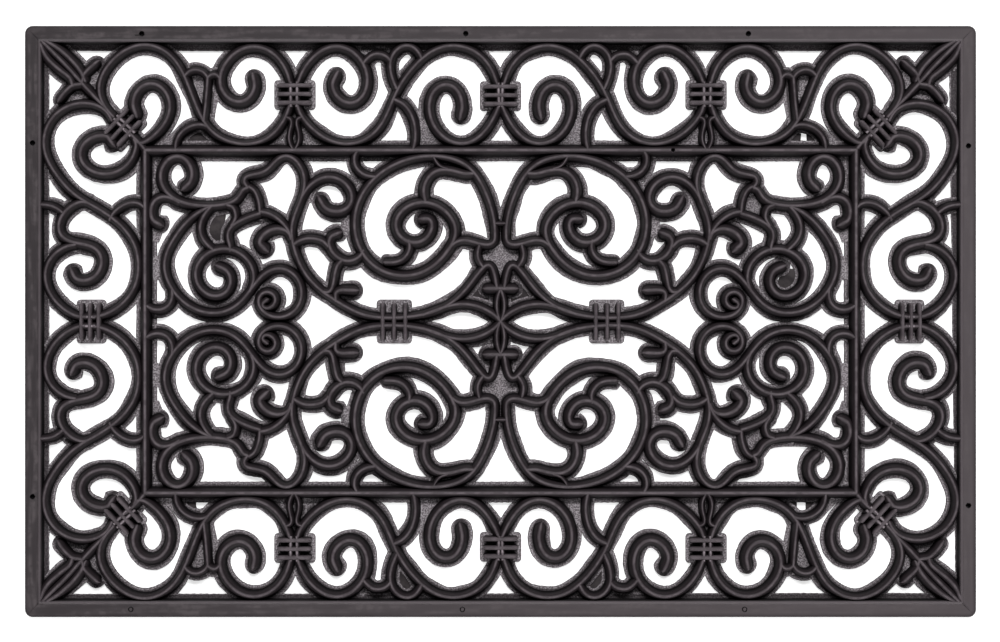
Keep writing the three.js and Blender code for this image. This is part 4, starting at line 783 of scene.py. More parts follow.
def ridge(line, half_width, height, foot, power, reaches, crown):
    """A bar along a line. Its section is one minus the offset's share raised to a power, so that it
    falls from a narrow crest to steep flanks. Along its rounded noses, the width shrinks as the
    fullness does, and the height by what the fullness lacks, raised to a power. The place across,
    kept for the colours, is the offset's share raised to the crown."""
    full_line = with_noses(line, *reaches)
    fullness = full_line[4]
    wide = np.interp(full_line[2], line[2], half_width) * fullness
    left, right = (side_reach(wide, full_line[3], side, BAR_BEND_POWER) for side in (1, -1))
    across = np.cos(np.linspace(0, np.pi, RIDGE_POINTS))
    profile = 1 - np.abs(across) ** power
    tall = (height - foot) * (1 - (1 - fullness) ** NOSE_POWER)
    heights = tall[:, None] * profile[None, :]
    rings = swept(full_line, across, heights, left, right, foot)
    mark = CREST_PLACE + np.sign(across) * np.abs(across) ** crown / 2
    return strip(rings, grid(full_line[2], mark), BODY_SLOT)


def web(line, half_width, reaches, swell, sizes, rng):
    """The thin web along a line: a flat strip with rounded edges. Each side's reach is the
    half-width plus two wandering lines, a long one for the swell and a short one for the ragged
    edge, times the fullness of the noses. The thickness wanders too."""
    full_line = with_noses(line, *reaches)
    along = full_line[2]
    wide = np.interp(along, line[2], half_width)
    sides = []
    for side in (1, -1):
        ragged = wander(along, rng, SWELL_LENGTH, swell)
        ragged += wander(along, rng, RAGGED_LENGTH, sizes.web_raggedness)
        reach = (wide + ragged) * full_line[4]
        sides.append(side_reach(reach, full_line[3], side, WEB_BEND_POWER))
    across = np.concatenate([WEB_ACROSS_SHARES, -WEB_ACROSS_SHARES[::-1]])
    shares = np.concatenate([WEB_HEIGHT_SHARES, WEB_HEIGHT_SHARES[::-1]])
    thickness = sizes.web_thickness * (1 + rng.uniform(-WEB_VARIATION, WEB_VARIATION))
    thick = thickness + wander(along, rng, UNEVEN_LENGTH, sizes.web_thickness * UNEVEN_SHARE)
    rings = swept(full_line, across, thick[:, None] * shares[None, :], *sides, 0)
    return strip(rings, grid(along, across / 2 + CREST_PLACE), WEB_SLOT)


def film(corners, thickness, slot, rng):
    """A flat piece with these corners. Each ring of its skin is its outline drawn in towards its
    middle to a share of its size, at a share of the thickness."""
    loop = np.concatenate([corners, corners[:1]])
    length = lengths_along(loop)
    count = max(int(length[-1] / STATION_STEP) // 2, LEAST_OUTLINE_PAIRS) * 2
    edge = cut_again(np.linspace(0, length[-1], count, endpoint=False), length, loop)
    middle = corners.mean(axis=0)
    flat = middle + (edge - middle)[None] * FILM_RING_SHARES[:, None, None]
    thick = thickness * (1 + rng.uniform(-FILM_VARIATION, FILM_VARIATION))
    height = np.broadcast_to(thick * FILM_HEIGHT_SHARES[:, None], flat.shape[:2])
    rings = np.concatenate([flat, height[:, :, None]], axis=2)
    across = np.broadcast_to(FILM_ACROSS_SHARES[:, None], flat.shape[:2])
    return strip(rings, np.stack([flat[:, :, 0], across], axis=2), slot)


def rounded_corners(centre, lengthwise, crosswise, half_length, half_span, radius):
    """Outline of a rectangle whose corners are quarters of a circle, as points in metres."""
    angle = np.linspace(0, np.pi / 2, PLATE_CORNER_STEPS)
    quarters = []
    for sign_x, sign_y in ((1, 1), (-1, 1), (-1, -1), (1, -1)):
        turn = angle if sign_x * sign_y > 0 else angle[::-1]
        x = sign_x * (half_length - radius + radius * np.cos(turn))
        y = sign_y * (half_span - radius + radius * np.sin(turn))
        quarters.append(centre + x[:, None] * lengthwise + y[:, None] * crosswise)
    return np.concatenate(quarters)


def bar(bar_shares, sizes, rng):
    """A bar of the scrollwork with the web along it."""
    start_share, end_share, crest_shares = bar_shares
    line = crest_line(field_points(crest_shares, sizes))
    share = start_share + (end_share - start_share) * line[2] / line[2][-1]
    half_width = share * sizes.bar_half_width
    ends = [half_width[0], half_width[-1]]
    free = [start_share > 1, end_share > 1]
    reaches = [end * (1 if loose else JOINED_NOSE_SHARE) for end, loose in zip(ends, free)]
    web_reaches = [end + (sizes.web_ledge if loose else 0) for end, loose in zip(ends, free)]
    foot = sizes.bar_height * BAR_FOOT_SHARE
    height = sizes.bar_height * (1 - rng.uniform(0, BAR_VARIATION))
    return [
        ridge(line, half_width, height, foot, RIDGE_POWER, reaches, BAR_CROWN),
        web(line, half_width + sizes.web_ledge, web_reaches, sizes.web_swell, sizes, rng),
    ]


def scroll(bars, fills, sizes, rng):
    """All the bars and filled corners of one piece of scrollwork."""
    surfaces = [surface for entry in bars for surface in bar(entry, sizes, rng)]
    for outline in fills:
        surfaces.append(film(field_points(outline, sizes), sizes.web_thickness, WEB_SLOT, rng))
    return surfaces


def level_ridge(start, end, half_width, height, foot, power, nose, crown):
    """A straight bar of one width, with the same nose at both ends."""
    line = straight(start, end)
    wide = np.full(len(line[2]), half_width)
    return ridge(line, wide, height, foot, power, [nose, nose], crown)


def tie(centre_share, turn, rod_length, spacing, crest_shares, has_core, sizes, rng):
    """Three rounded rods across a meeting of bars, with a low core between them, the crests that
    pass under them and a plate with rounded corners."""
    centre = field_points([centre_share], sizes)[0]
    lengthwise = np.array([np.cos(turn), np.sin(turn)])
    crosswise = np.array([-lengthwise[1], lengthwise[0]])
    rod_half = sizes.rod_width / 2
    half = lengthwise * (rod_length / 2 - rod_half)
    foot = sizes.web_thickness / 2
    surfaces = []
    for place in (-1, 0, 1):
        middle = centre + crosswise * place * spacing
        ends = (middle - half, middle + half)
        rod = level_ridge(*ends, rod_half, sizes.rod_height, foot, ROD_POWER, rod_half, ROD_CROWN)
        surfaces.append(rod)
    if has_core:
        half = lengthwise * (rod_length / 2 - sizes.rod_width)
        ends = (centre - half, centre + half)
        wide = spacing + rod_half / 2
        height = sizes.bar_height * CORE_HEIGHT_SHARE
        # The low core takes the bars' painted foot shade all over.
        core = level_ridge(*ends, wide, height, SOLE, CORE_POWER, rod_half, CORE_CROWN)
        surfaces.append(core)
    for crest in crest_shares:
        ends = field_points(crest, sizes)
        wide = sizes.bar_half_width
        height = sizes.bar_height * STUB_HEIGHT_SHARE
        stub = level_ridge(*ends, wide, height, SOLE, RIDGE_POWER, STUB_NOSE, BAR_CROWN)
        # The crests under the rods get the glint material: a painted highlight.
        surfaces.append((*stub[:3], np.full(len(stub[1]), GLINT_SLOT)))
    half_length = rod_length / 2 + sizes.plate_margin
    half_span = spacing + rod_half + sizes.plate_margin
    outline = rounded_corners(
        centre, lengthwise, crosswise, half_length, half_span, PLATE_CORNER_RADIUS
    )
    surfaces.append(film(outline, sizes.web_thickness, WEB_SLOT, rng))
    return surfaces


def frame_side(half_along, half_across, depths, heights, radius, pits, plugged, turn):
    """One side of a frame, from mitre to mitre. A station is a share of the way along; its ring of
    points is the section, whose depth runs inward from the outer edge. Around a pit, the surface
    drops by a smooth step of the distance to its middle, and its faces have a slot of their own; of
    a plugged pit, only the faces around the plug have it."""
    stations = np.arange(-half_along, half_along + RIM_STEP, RIM_STEP)
    near = np.arange(-PIT_REACH_STEPS, PIT_REACH_STEPS + 1) * PIT_STEP
    shares = [stations / half_along]
    for place, across, _, _ in pits:
        shares.append((place + near) / (half_along - max(radius, half_across - across)))
    share = np.unique(np.clip(np.concatenate(shares), -1, 1))
    inset = np.maximum(radius, depths)
    round_off = np.maximum(radius - depths, LEAST_ROUNDING)
    x = share[:, None] * (half_along - inset)[None, :]
    y = np.broadcast_to(half_across - depths, x.shape)
    angle = np.linspace(np.pi / 4, np.pi / 2, MITRE_STEPS)[:-1]
    corner_x = (half_along - inset)[None, :] + round_off[None, :] * np.cos(angle)[:, None]
    corner_y = (half_across - inset)[None, :] + round_off[None, :] * np.sin(angle)[:, None]
    x = np.concatenate([-corner_x, x, corner_x[::-1]])
    y = np.concatenate([corner_y, y, corner_y[::-1]])
    z = np.broadcast_to(heights, x.shape).copy()
    hollow = np.zeros(x.shape)
    for place, across, diameter, drop in pits:
        distance = np.hypot(x - place, y - across)
        inside = np.clip((diameter / 2 - distance) / (diameter * PIT_WALL_SHARE), 0, 1)
        step = np.where(z > drop, inside**2 * (3 - 2 * inside), 0)
        z -= drop * step
        hollow += step
    marked = (hollow > 0) & ((hollow < 1) | (not plugged))
    # Marked places sit at the foot of the pit slot's bar material, which lays painted shade into
    # the pit and into the groove around a plug.
    uv = np.stack([x, np.where(marked, 0, depths)], axis=2)
    flat_x = x * np.cos(turn) - y * np.sin(turn)
    flat_y = x * np.sin(turn) + y * np.cos(turn)
    points, quads, uv, slots = strip(np.stack([flat_x, flat_y, z], axis=2), uv, BODY_SLOT)
    slots[marked.ravel()[quads].any(axis=1)] = PIT_SLOT
    return points, quads, uv, slots


def ledge(half_along, edge, reaches, turn, sizes, rng):
    """The ragged web along the inner edge of a side of the frame, whose reach changes evenly from
    one end to the other, counter-clockwise."""
    middle = edge - max(reaches) / 2
    line = straight([half_along, middle], [-half_along, middle])
    wide = np.linspace(*reaches, len(line[2])) / 2
    line[0][:, 1] = edge - wide
    noses = [LEDGE_NOSE, LEDGE_NOSE]
    # The web's painted shade beside a bar darkens the middle of this strip.
    points, quads, uv, slots = web(line, wide, noses, sizes.web_raggedness, sizes, rng)
    cosine, sine = np.cos(turn), np.sin(turn)
    spin = np.array([[cosine, sine, 0], [-sine, cosine, 0], [0, 0, 1]])
    return points @ spin, quads, uv, slots


def add_object(name, surfaces, materials):
    """One mesh from several closed surfaces. It rides on the mat and stands for the CAD node of the
    same name."""
    if name in bpy.data.objects:
        raise RuntimeError(f"{name} is already in the scene")
    starts = np.cumsum([0] + [len(surface[0]) for surface in surfaces])
    quads = np.concatenate([surface[1] + start for surface, start in zip(surfaces, starts)])
    points, uv, slots = (np.concatenate([surface[k] for surface in surfaces]) for k in (0, 2, 3))
    mesh = bpy.data.meshes.new(name)
    mesh.vertices.add(len(points))
    mesh.vertices.foreach_set("co", points.astype(np.float32).ravel())
    mesh.loops.add(quads.size)
    mesh.loops.foreach_set("vertex_index", quads.astype(np.int32).ravel())
    mesh.polygons.add(len(quads))
    mesh.polygons.foreach_set("loop_start", np.arange(0, quads.size, 4, dtype=np.int32))
    mesh.polygons.foreach_set("material_index", slots.astype(np.int32))
    mesh.polygons.foreach_set("use_smooth", np.ones(len(quads), dtype=bool))
    layer = mesh.uv_layers.new(name="along_across")
    layer.data.foreach_set("uv", uv[quads.ravel()].astype(np.float32).ravel())
    for material in materials:
        mesh.materials.append(material)
    mesh.update(calc_edges=True)
    mesh.validate()
    mesh.set_sharp_from_angle(angle=SHARP_ANGLE)
    piece = bpy.data.objects.new(name, mesh)
    bpy.context.scene.collection.objects.link(piece)
    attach(piece, "root")
    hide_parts(name.removeprefix("look_"))


def put(tree, socket, value):
    """Link a socket to this one, or give it a plain value."""
    if isinstance(value, bpy.types.NodeSocket):
        tree.links.new(value, socket)
    else:
        socket.default_value = value


def new_node(tree, kind, place, **options):
    """A node of a kind at a place, with its options."""
    node = tree.nodes.new(kind)
    node.location = place
    for key, value in options.items():
        setattr(node, key, value)
    return node


def combine(tree, place, operation, *values):
    """The result of an operation on values, each of them a socket or a number."""
    node = new_node(tree, "ShaderNodeMath", place, operation=operation)
    for socket, value in zip(node.inputs, values):
        put(tree, socket, value)
    return node.outputs[0]


def components(tree, place, vector):
    """The first two numbers of a vector."""
    node = new_node(tree, "ShaderNodeSeparateXYZ", place)
    tree.links.new(vector, node.inputs[0])
    return node.outputs["X"], node.outputs["Y"]


def noise(tree, place, vector, measures):
    """Noise of this scale, detail and roughness over a vector, as a mask around one half."""
    node = new_node(tree, "ShaderNodeTexNoise", place)
    for name, measure in zip(("Scale", "Detail", "Roughness"), measures):
        node.inputs[name].default_value = measure
    tree.links.new(vector, node.inputs["Vector"])
    return node.outputs["Fac"]


def spread(tree, place, value, mask, unit=1):
    """A value carried smoothly from one range to another. The mask is the two ends of the first
    one, in this unit, and what they become."""
    node = new_node(tree, "ShaderNodeMapRange", place, interpolation_type="SMOOTHSTEP")
    low, high, to_low, to_high = mask
    node.inputs["From Min"].default_value = low * unit
    node.inputs["From Max"].default_value = high * unit
    node.inputs["To Min"].default_value = to_low
    node.inputs["To Max"].default_value = to_high
    tree.links.new(value, node.inputs["Value"])
    return node.outputs["Result"]


def blend_colours(tree, place, mask, first, second):
    """First colour where the mask is 0, second where it is 1. Each is a socket or three numbers."""
    node = new_node(tree, "ShaderNodeMix", place, data_type="RGBA")
    tree.links.new(mask, node.inputs[0])
    for index, colour in zip(MIX_COLOUR_INPUTS, (first, second)):
        linked = isinstance(colour, bpy.types.NodeSocket)
        put(tree, node.inputs[index], colour if linked else (*colour, 1))
    return node.outputs[MIX_COLOUR_OUTPUT]


def grain_group():
    """Shared grain of moulded rubber. Noises of three sizes over a vector give a mask of soft
    blotches, a mask of fine specks and a height."""
    name = "rubber_grain"
    if name in bpy.data.node_groups:
        return bpy.data.node_groups[name]
    group = bpy.data.node_groups.new(name, "ShaderNodeTree")
    group.interface.new_socket("Vector", in_out="INPUT", socket_type="NodeSocketVector")
    for output in ("Blotches", "Specks", "Height"):
        group.interface.new_socket(output, in_out="OUTPUT", socket_type="NodeSocketFloat")
    vector = new_node(group, "NodeGroupInput", (-600, 0)).outputs["Vector"]
    end = new_node(group, "NodeGroupOutput", (400, 0))
    blotches = noise(group, (-400, 200), vector, BLOTCH_NOISE)
    specks = noise(group, (-400, 0), vector, SPECK_NOISE)
    fine = noise(group, (-400, -200), vector, FINE_NOISE)
    put(group, end.inputs["Blotches"], spread(group, (0, 200), blotches, BLOTCH_MASK))
    put(group, end.inputs["Specks"], spread(group, (0, 0), specks, SPECK_MASK))
    put(group, end.inputs["Height"], combine(group, (-150, -100), "ADD", specks, fine))
    return group


def new_material(name):
    """A material, the places on its object and the shared grain over them."""
    material = bpy.data.materials.new(name)
    material.use_nodes = True
    tree = material.node_tree
    place = new_node(tree, "ShaderNodeTexCoord", (-1100, 0))
    grain = new_node(tree, "ShaderNodeGroup", (-900, 0), node_tree=grain_group())
    tree.links.new(place.outputs["Object"], grain.inputs["Vector"])
    return material, tree, place, grain


def shade(tree, grain, colour, roughness, shine, bump):
    """Give the shader its colour, roughness and shine, and a bump of this strength and depth."""
    shader = tree.nodes["Principled BSDF"]
    node = new_node(tree, "ShaderNodeBump", (-250, -300))
    node.inputs["Strength"].default_value, node.inputs["Distance"].default_value = bump
    put(tree, node.inputs["Height"], grain.outputs["Height"])
    put(tree, shader.inputs["Normal"], node.outputs["Normal"])
    put(tree, shader.inputs["Base Color"], colour)
    put(tree, shader.inputs["Roughness"], roughness)
    put(tree, shader.inputs["Specular IOR Level"], shine)


def off_crest(tree, place):
    """How far from its crest a point of a bar is: 0 on the crest and 0.5 at the foot."""
    across = components(tree, (-900, 300), place.outputs["UV"])[1]
    shift = combine(tree, (-750, 300), "SUBTRACT", across, CREST_PLACE)
    return combine(tree, (-600, 300), "ABSOLUTE", shift)


def bar_material(colours, member, crest):
    """Satin black rubber of a kind of member, paler along the crest from rubbing and a painted
    highlight, with painted shade at the foot.
    """
    name = f"rubber_{member}"
    if name in bpy.data.materials:
        return bpy.data.materials[name]
    material, tree, place, grain = new_material(name)
    blotches = grain.outputs["Blotches"]
    distance = off_crest(tree, place)
    # The crest's paleness: partly wear, partly a painted highlight.
    crest_wear_and_highlight = spread(tree, (-450, 300), distance, BAR_CREST_WEAR_AND_HIGHLIGHT)
    patchy = spread(tree, (-450, 100), blotches, BAR_PATCHES)
    paler_blend = combine(tree, (-300, 200), "MULTIPLY", crest_wear_and_highlight, patchy)
    # Painted shade towards the foot.
    foot_shade = spread(tree, (-450, 500), distance, BAR_FOOT_SHADE)
    flank = blend_colours(tree, (-300, 500), foot_shade, colours.rubber, colours.foot)
    colour = blend_colours(tree, (-150, 200), paler_blend, flank, crest)
    roughness = spread(tree, (-300, 0), blotches, BAR_ROUGHNESS)
    shade(tree, grain, colour, roughness, BAR_SHINE, BAR_BUMP)
    return material


def web_material(colours):
    """Matt grey web, mottled with dark and pale specks, rough from the mould, with painted shade
    beside the bar and along its edge."""
    name = "rubber_web"
    if name in bpy.data.materials:
        return bpy.data.materials[name]
    material, tree, place, grain = new_material(name)
    dark = spread(tree, (-600, 100), grain.outputs["Specks"], WEB_DARK_SPECKS)
    pale = spread(tree, (-600, 300), grain.outputs["Specks"], WEB_PALE_SPECKS)
    mottled = blend_colours(tree, (-450, 200), dark, colours.web, colours.web_speck)
    sparked = blend_colours(tree, (-300, 200), pale, mottled, colours.web_spark)
    distance = off_crest(tree, place)
    # Painted shade beside the bar.
    bar_shade = spread(tree, (-300, 600), distance, WEB_BAR_SHADE)
    shaded_beside_bar = blend_colours(tree, (-220, 400), bar_shade, sparked, colours.rubber)
    # Painted shade along the edge.
    web_edge_shade = spread(tree, (-300, 400), distance, WEB_EDGE_SHADE)
    web_edge_shaded = blend_colours(tree, (-150, 200), web_edge_shade, shaded_beside_bar, colours.rubber)
    shade(tree, grain, web_edge_shaded, WEB_ROUGHNESS, WEB_SHINE, WEB_BUMP)
    return material


def film_material(colours):
    """Smooth dull film of flashed rubber."""
    name = "rubber_film"
    if name in bpy.data.materials:
        return bpy.data.materials[name]
    material, tree, _, grain = new_material(name)
    blotches = grain.outputs["Blotches"]
    patchy = blend_colours(tree, (-300, 200), blotches, colours.rim_dark, colours.film)
    shade(tree, grain, patchy, FILM_ROUGHNESS, FILM_SHINE, FILM_BUMP)
    return material


def rim_material(colours, width, length):
    """Flat scuffed rim: faint streaks along its length, painted shade towards the mat's top left
    corner and towards its outer edge, and a painted highlight on the bead along the inner edge with
    painted black shade on the flank below it. The rim is this wide, and the mat this long."""
    name = "rubber_rim"
    if name in bpy.data.materials:
        return bpy.data.materials[name]
    material, tree, place, grain = new_material(name)
    stretch = new_node(tree, "ShaderNodeMapping", (-900, 300))
    stretch.inputs["Scale"].default_value = STREAK_STRETCH
    tree.links.new(place.outputs["UV"], stretch.inputs["Vector"])
    streaks = noise(tree, (-700, 300), stretch.outputs[0], STREAK_NOISE)
    streak = spread(tree, (-450, 300), streaks, RIM_STREAKS)
    patchy = spread(tree, (-450, 100), grain.outputs["Blotches"], RIM_PATCHES)
    scuffed = combine(tree, (-300, 200), "MULTIPLY", streak, patchy)
    # Painted shade, fading out from the mat's top left corner.
    x, y = components(tree, (-900, 1100), place.outputs["Object"])
    slanted = combine(tree, (-800, 1200), "MULTIPLY_ADD", y, -RIM_SLANT, x)
    shade_fade = spread(tree, (-700, 1100), slanted, RIM_SHADE_FADE, length)
    paler_blend = blend_colours(tree, (-450, 1200), shade_fade, colours.rim_dark, colours.rim)
    flat = blend_colours(tree, (-150, 200), scuffed, paler_blend, colours.rim_scuff)

    depth = components(tree, (-900, 600), place.outputs["UV"])[1]
    # Painted shade towards the outer edge.
    edge = spread(tree, (-450, 600), depth, RIM_EDGE_SHADE, width)
    # Painted highlight on the bead.
    bead = spread(tree, (-450, 800), depth, RIM_BEAD_HIGHLIGHT, width)
    # Painted shade on the inner flank.
    flank = spread(tree, (-450, 1000), depth, RIM_FLANK_SHADE, width)
    rim_edge_shaded = blend_colours(tree, (0, 600), edge, flat, colours.rubber)
    bead_highlighted = blend_colours(tree, (0, 800), bead, rim_edge_shaded, colours.crest)
    flank_shaded = blend_colours(tree, (0, 1000), flank, bead_highlighted, colours.foot)
    roughness = spread(tree, (-300, 0), streaks, RIM_ROUGHNESS)
    shade(tree, grain, flank_shaded, roughness, RIM_SHINE, RIM_BUMP)
    return material


def scroll_materials(colours):
    """The materials of a bar and of the web along it."""
    return [bar_material(colours, "bar", colours.crest), web_material(colours)]


def seeded(name):
    """Random numbers that are the same each time for a piece of this name."""
    return np.random.default_rng([ord(letter) for letter in name])


def settings(context):
    """The mat's sizes and colours."""
    return context.scene.doormat_sizes, context.scene.doormat_colours


def add_quarters(name, bars, fills, context):
    """The same piece of scrollwork in the four quarters, each with its own ragged edge."""
    sizes, colours = settings(context)
    materials = [*scroll_materials(colours), film_material(colours)]
    for sign_x, side in SIDE_NAMES.items():
        for sign_y, end in END_NAMES.items():
            full_name = f"look_{name}_{end}_{side}"
            rng = seeded(full_name)
            surfaces = scroll(bars, fills, sizes, rng)
            for outline in QUARTER_FILM_SHARES.get(full_name, []):
                corners = field_points(outline, sizes)
                surfaces.append(film(corners, sizes.film_thickness, FILM_SLOT, rng))
            add_object(full_name, [mirrored(each, sign_x, sign_y) for each in surfaces], materials)


def add_pair(name, bars, fills, context):
    """A piece of scrollwork joined with its mirror image, at both long sides of the mat."""
    sizes, colours = settings(context)
    for sign_y, end in END_NAMES.items():
        full_name = f"look_{name}_{end}"
        rng = seeded(full_name)
        surfaces = []
        for sign_x in SIDE_NAMES:
            surfaces += [mirrored(each, sign_x, sign_y) for each in scroll(bars, fills, sizes, rng)]
        add_object(full_name, surfaces, scroll_materials(colours))


class DOORMAT_OT_rim(bpy.types.Operator):
    """Add the four sides of the flat outer rim, with their pits and ragged ledge"""

    bl_idname = "doormat.rim"
    bl_label = "Add rim"

    def execute(self, context):
        sizes, colours = settings(context)
        width = sizes.rim_width
        shares = np.unique(np.concatenate([RIM_KNOT_SHARES, RIM_FLAT_SHARES]))
        heights = np.interp(shares, RIM_KNOT_SHARES, RIM_KNOT_HEIGHT_SHARES) * sizes.rim_height
        depths = np.concatenate([[0], shares * width, [shares[-1] * width]])
        heights = np.concatenate([[0], heights, [0]])
        if len(depths) % 2:  # the skin needs an even number
            depths = np.insert(depths, 1, 0)
            heights = np.insert(heights, 1, heights[1] / 2)
        bar_look, web_look = scroll_materials(colours)
        # The bars' material, third, gives the pits its painted foot shade.
        materials = [rim_material(colours, width, sizes.mat_length), web_look, bar_look]
        halves = (sizes.mat_length / 2, sizes.mat_width / 2)
        for side, along, across, turn in frame_sides(*halves):
            plugged = side == PLUGGED_SIDE
            drop = sizes.plug_drop if plugged else sizes.pit_depth
            pit = (across - width / 2, sizes.pit_diameter, drop)
            pits = [(share * along, *pit) for share in RIM_PIT_SHARES[side]]
            radius = sizes.corner_radius
            body = frame_side(along, across, depths, heights, radius, pits, plugged, turn)
            name = f"look_rim_{side}"
            reaches = [share * width for share in LEDGE_SHARES[side]]
            skirt = ledge(along - width, across - width, reaches, turn, sizes, seeded(name))
            add_object(name, [body, skirt], materials)
        return {"FINISHED"}


class DOORMAT_OT_rail(bpy.types.Operator):
    """Add the four sides of the inner rail, with the web along them"""

    bl_idname = "doormat.rail"
    bl_label = "Add rail"

    def execute(self, context):
        sizes, colours = settings(context)
        half = sizes.rail_half_width
        heights = np.interp(RAIL_ACROSS_SHARES, RAIL_KNOT_SHARES, RAIL_KNOT_HEIGHT_SHARES)
        heights = np.concatenate([[SOLE], heights * sizes.bar_height, [SOLE]])
        depths = np.concatenate([[0], (RAIL_ACROSS_SHARES + 1) * half, [2 * half]])
        # The rail's crest: partly wear, partly a painted highlight.
        rail = bar_material(colours, "rail", colours.rail_crest)
        materials = [rail, web_material(colours), rail]
        for side, along, across, turn in frame_sides(*field_halves(sizes)[1]):
            # The rail's pit takes the rail material's painted foot shade.
            pit = (RAIL_PIT_SHARE * along, across, sizes.rail_pit_diameter, sizes.pit_depth)
            pits = [pit] if side == RAIL_PIT_SIDE else []
            body = frame_side(along + half, across + half, depths, heights, 0, pits, False, turn)
            body[2][:, 1] /= 2 * half  # a share of the width, as on the bars
            name = f"look_rail_{side}"
            reach = half + sizes.web_ledge + sizes.web_thickness / 2
            reaches = [2 * reach, 2 * reach]
            skirt = ledge(along + half, across + reach, reaches, turn, sizes, seeded(name))
            add_object(name, [body, skirt], materials)
        return {"FINISHED"}


class DOORMAT_OT_ties(bpy.types.Operator):
    """Add the ties over each meeting of bars"""

    bl_idname = "doormat.ties"
    bl_label = "Add ties"

    def execute(self, context):
        sizes, colours = settings(context)
        # A painted highlight for the crests under the rods.
        glint = bar_material(colours, "glint", colours.glint)
        materials = [*scroll_materials(colours), glint]
        short = (sizes.rod_length, sizes.rod_spacing)
        long = (sizes.long_rod_length, sizes.rod_spacing)
        wide = (sizes.long_rod_length, sizes.panel_rod_spacing)
        ends = [(end, 1, sign_y) for sign_y, end in END_NAMES.items()]
        sides = [(side, sign_x, 1) for sign_x, side in SIDE_NAMES.items()]
        quarters = [
            (f"{end}_{side}", sign_x, sign_y)
            for side, sign_x, _ in sides
            for end, _, sign_y in ends
        ]
        middle_crests = MIDDLE_TIE_CREST_SHARES
        side_crests = SIDE_TIE_CREST_SHARES
        second_crests = SECOND_TIE_CREST_SHARES
        corner_crests = CORNER_TIE_CREST_SHARES
        for kind, centre, turn, rods, crests, has_core, places in (
            ("middle", MIDDLE_TIE_SHARES, 0, short, middle_crests, True, ends),
            ("panel", PANEL_TIE_SHARES, SIDE_TIE_TURN, wide, [], False, sides),
            ("side", SIDE_TIE_SHARES, SIDE_TIE_TURN, long, side_crests, False, sides),
            ("second", SECOND_TIE_SHARES, 0, short, second_crests, True, quarters),
            ("corner", CORNER_TIE_SHARES, CORNER_TIE_TURN, short, corner_crests, True, quarters),
        ):
            for place, sign_x, sign_y in places:
                name = f"look_tie_{kind}_{place}"
                made = tie(centre, turn, *rods, crests, has_core, sizes, seeded(name))
                add_object(name, [mirrored(each, sign_x, sign_y) for each in made], materials)
        return {"FINISHED"}


class DOORMAT_OT_border_scrolls(bpy.types.Operator):
    """Add the scrollwork along the border's long sides"""

    bl_idname = "doormat.border_scrolls"
    bl_label = "Add border scrolls"

    def execute(self, context):
        add_pair("middle_curls", MIDDLE_CURL_SHARES, [], context)
        fills = BORDER_CENTRE_FILL_SHARES
        add_quarters("border_centre_scroll", BORDER_CENTRE_SCROLL_SHARES, fills, context)
        add_quarters("border_scroll_pair", BORDER_SCROLL_PAIR_SHARES, [], context)
        return {"FINISHED"}


class DOORMAT_OT_corner_scrolls(bpy.types.Operator):
    """Add the scrollwork in the border's corners and at its ends"""

    bl_idname = "doormat.corner_scrolls"
    bl_label = "Add corner and end scrolls"

    def execute(self, context):
        fills = CORNER_TOP_FILL_SHARES
        add_quarters("corner_top_sweep", CORNER_TOP_SWEEP_SHARES, fills, context)
        add_quarters("corner_curls", CORNER_CURLS_SHARES, [], context)
        add_quarters("corner_leaf", CORNER_LEAF_SHARES, CORNER_LEAF_FILL_SHARES, context)
        add_quarters("side_scroll", SIDE_SCROLL_SHARES, [], context)
        return {"FINISHED"}


class DOORMAT_OT_panel(bpy.types.Operator):
    """Add the scrollwork of the middle panel"""

    bl_idname = "doormat.panel"
    bl_label = "Add panel scrolls"

    def execute(self, context):
        add_quarters("panel_sweep", PANEL_SWEEP_SHARES, PANEL_SWEEP_FILL_SHARES, context)
        add_quarters("panel_volute", PANEL_VOLUTE_SHARES, PANEL_VOLUTE_FILL_SHARES, context)
        add_quarters("medallion", MEDALLION_SHARES, MEDALLION_FILL_SHARES, context)
        return {"FINISHED"}


def floor_material(colours):
    """White floor: to the camera it adds a glow to the lit surface, so that it stays white and
    still keeps a trace of the mat's shadow."""
    material = bpy.data.materials.new("floor_white")
    material.use_nodes = True
    tree = material.node_tree
    tree.nodes.clear()
    end = new_node(tree, "ShaderNodeOutputMaterial", (400, 0))
    add = new_node(tree, "ShaderNodeAddShader", (200, 0))
    surface = new_node(tree, "ShaderNodeBsdfDiffuse", (0, 100))
    surface.inputs["Color"].default_value = (*colours.floor, 1)
    glow = new_node(tree, "ShaderNodeEmission", (0, -100))
    ray = new_node(tree, "ShaderNodeLightPath", (-300, -100))
    seen = spread(tree, (-150, -100), ray.outputs["Is Camera Ray"], FLOOR_GLOW)
    tree.links.new(seen, glow.inputs["Strength"])
    tree.links.new(surface.outputs[0], add.inputs[0])
    tree.links.new(glow.outputs[0], add.inputs[1])
    tree.links.new(add.outputs[0], end.inputs["Surface"])
    return material


def add_softbox(name, place, size, power):
    """A rectangular lamp of this size and power, turned towards the middle of the mat."""
    lamp = bpy.data.lights.new(name, "AREA")
    lamp.shape = "RECTANGLE"
    lamp.size, lamp.size_y = size
    lamp.energy = power
    light = bpy.data.objects.new(name, lamp)
    light.location = place
    light.rotation_euler = Vector(place).to_track_quat("Z", "Y").to_euler()
    bpy.context.scene.collection.objects.link(light)
    return light


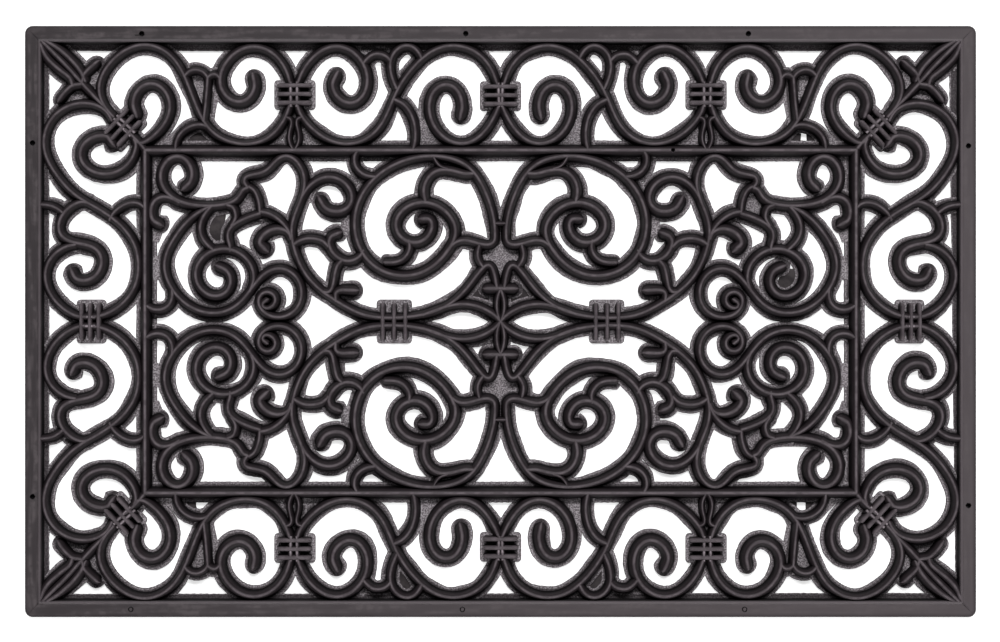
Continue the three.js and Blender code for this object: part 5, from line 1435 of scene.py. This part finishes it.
class DOORMAT_OT_stage(bpy.types.Operator):
    """Add the white floor, the soft light and the camera straight above the mat"""

    bl_idname = "doormat.stage"
    bl_label = "Add stage"

    def execute(self, context):
        colours = settings(context)[1]
        scene = context.scene
        if "floor" in bpy.data.objects:
            raise RuntimeError("the stage is already in the scene")
        mesh = bpy.data.meshes.new("floor")
        size = FLOOR_HALF_SIZE
        flat = [(-size, -size), (size, -size), (size, size), (-size, size)]
        mesh.from_pydata([(x, y, -FLOOR_DROP) for x, y in flat], [], [(0, 1, 2, 3)])
        mesh.materials.append(floor_material(colours))
        floor = bpy.data.objects.new("floor", mesh)
        scene.collection.objects.link(floor)

        key = add_softbox("softbox", LAMP_PLACE, LAMP_SIZE, LAMP_POWER)
        low = add_softbox("low_softbox", FILL_PLACE, FILL_SIZE, FILL_POWER)

        world = bpy.data.worlds.new("room")
        world.use_nodes = True
        world.node_tree.nodes["Background"].inputs["Color"].default_value = (1, 1, 1, 1)
        world.node_tree.nodes["Background"].inputs["Strength"].default_value = ROOM_LIGHT
        scene.world = world

        view = bpy.data.cameras.new("camera")
        view.sensor_width = CAMERA_SENSOR
        view.lens = CAMERA_LENS
        camera = bpy.data.objects.new("camera", view)
        camera.location = CAMERA_PLACE
        scene.collection.objects.link(camera)
        scene.camera = camera
        scene.view_settings.view_transform = "Standard"
        return {"FINISHED"}


class DOORMAT_PT_panel(bpy.types.Panel):
    """Sizes and colours of the doormat"""

    bl_idname = "DOORMAT_PT_panel"
    bl_label = "Doormat"
    bl_space_type = "VIEW_3D"
    bl_region_type = "UI"
    bl_category = "Doormat"

    def draw(self, context):
        for group in settings(context):
            box = self.layout.box()
            for name in group.__annotations__:
                box.prop(group, name)
        for operator in OPERATORS:
            self.layout.operator(operator.bl_idname)


OPERATORS = (
    DOORMAT_OT_rim,
    DOORMAT_OT_rail,
    DOORMAT_OT_ties,
    DOORMAT_OT_border_scrolls,
    DOORMAT_OT_corner_scrolls,
    DOORMAT_OT_panel,
    DOORMAT_OT_stage,
)
CLASSES = (DoormatSizes, DoormatColours, *OPERATORS, DOORMAT_PT_panel)


def register():
    """Register the add-on's classes and its two groups of settings."""
    for cls in CLASSES:
        bpy.utils.register_class(cls)
    bpy.types.Scene.doormat_sizes = bpy.props.PointerProperty(type=DoormatSizes)
    bpy.types.Scene.doormat_colours = bpy.props.PointerProperty(type=DoormatColours)


def unregister():
    """Take the add-on away again."""
    del bpy.types.Scene.doormat_colours
    del bpy.types.Scene.doormat_sizes
    for cls in reversed(CLASSES):
        bpy.utils.unregister_class(cls)


def main():
    """Build the looks."""
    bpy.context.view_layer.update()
    register()
    bpy.ops.doormat.rim()
    bpy.ops.doormat.rail()
    bpy.ops.doormat.ties()
    bpy.ops.doormat.border_scrolls()
    bpy.ops.doormat.corner_scrolls()
    bpy.ops.doormat.panel()
    bpy.ops.doormat.stage()


if __name__ == "__main__":
    main()
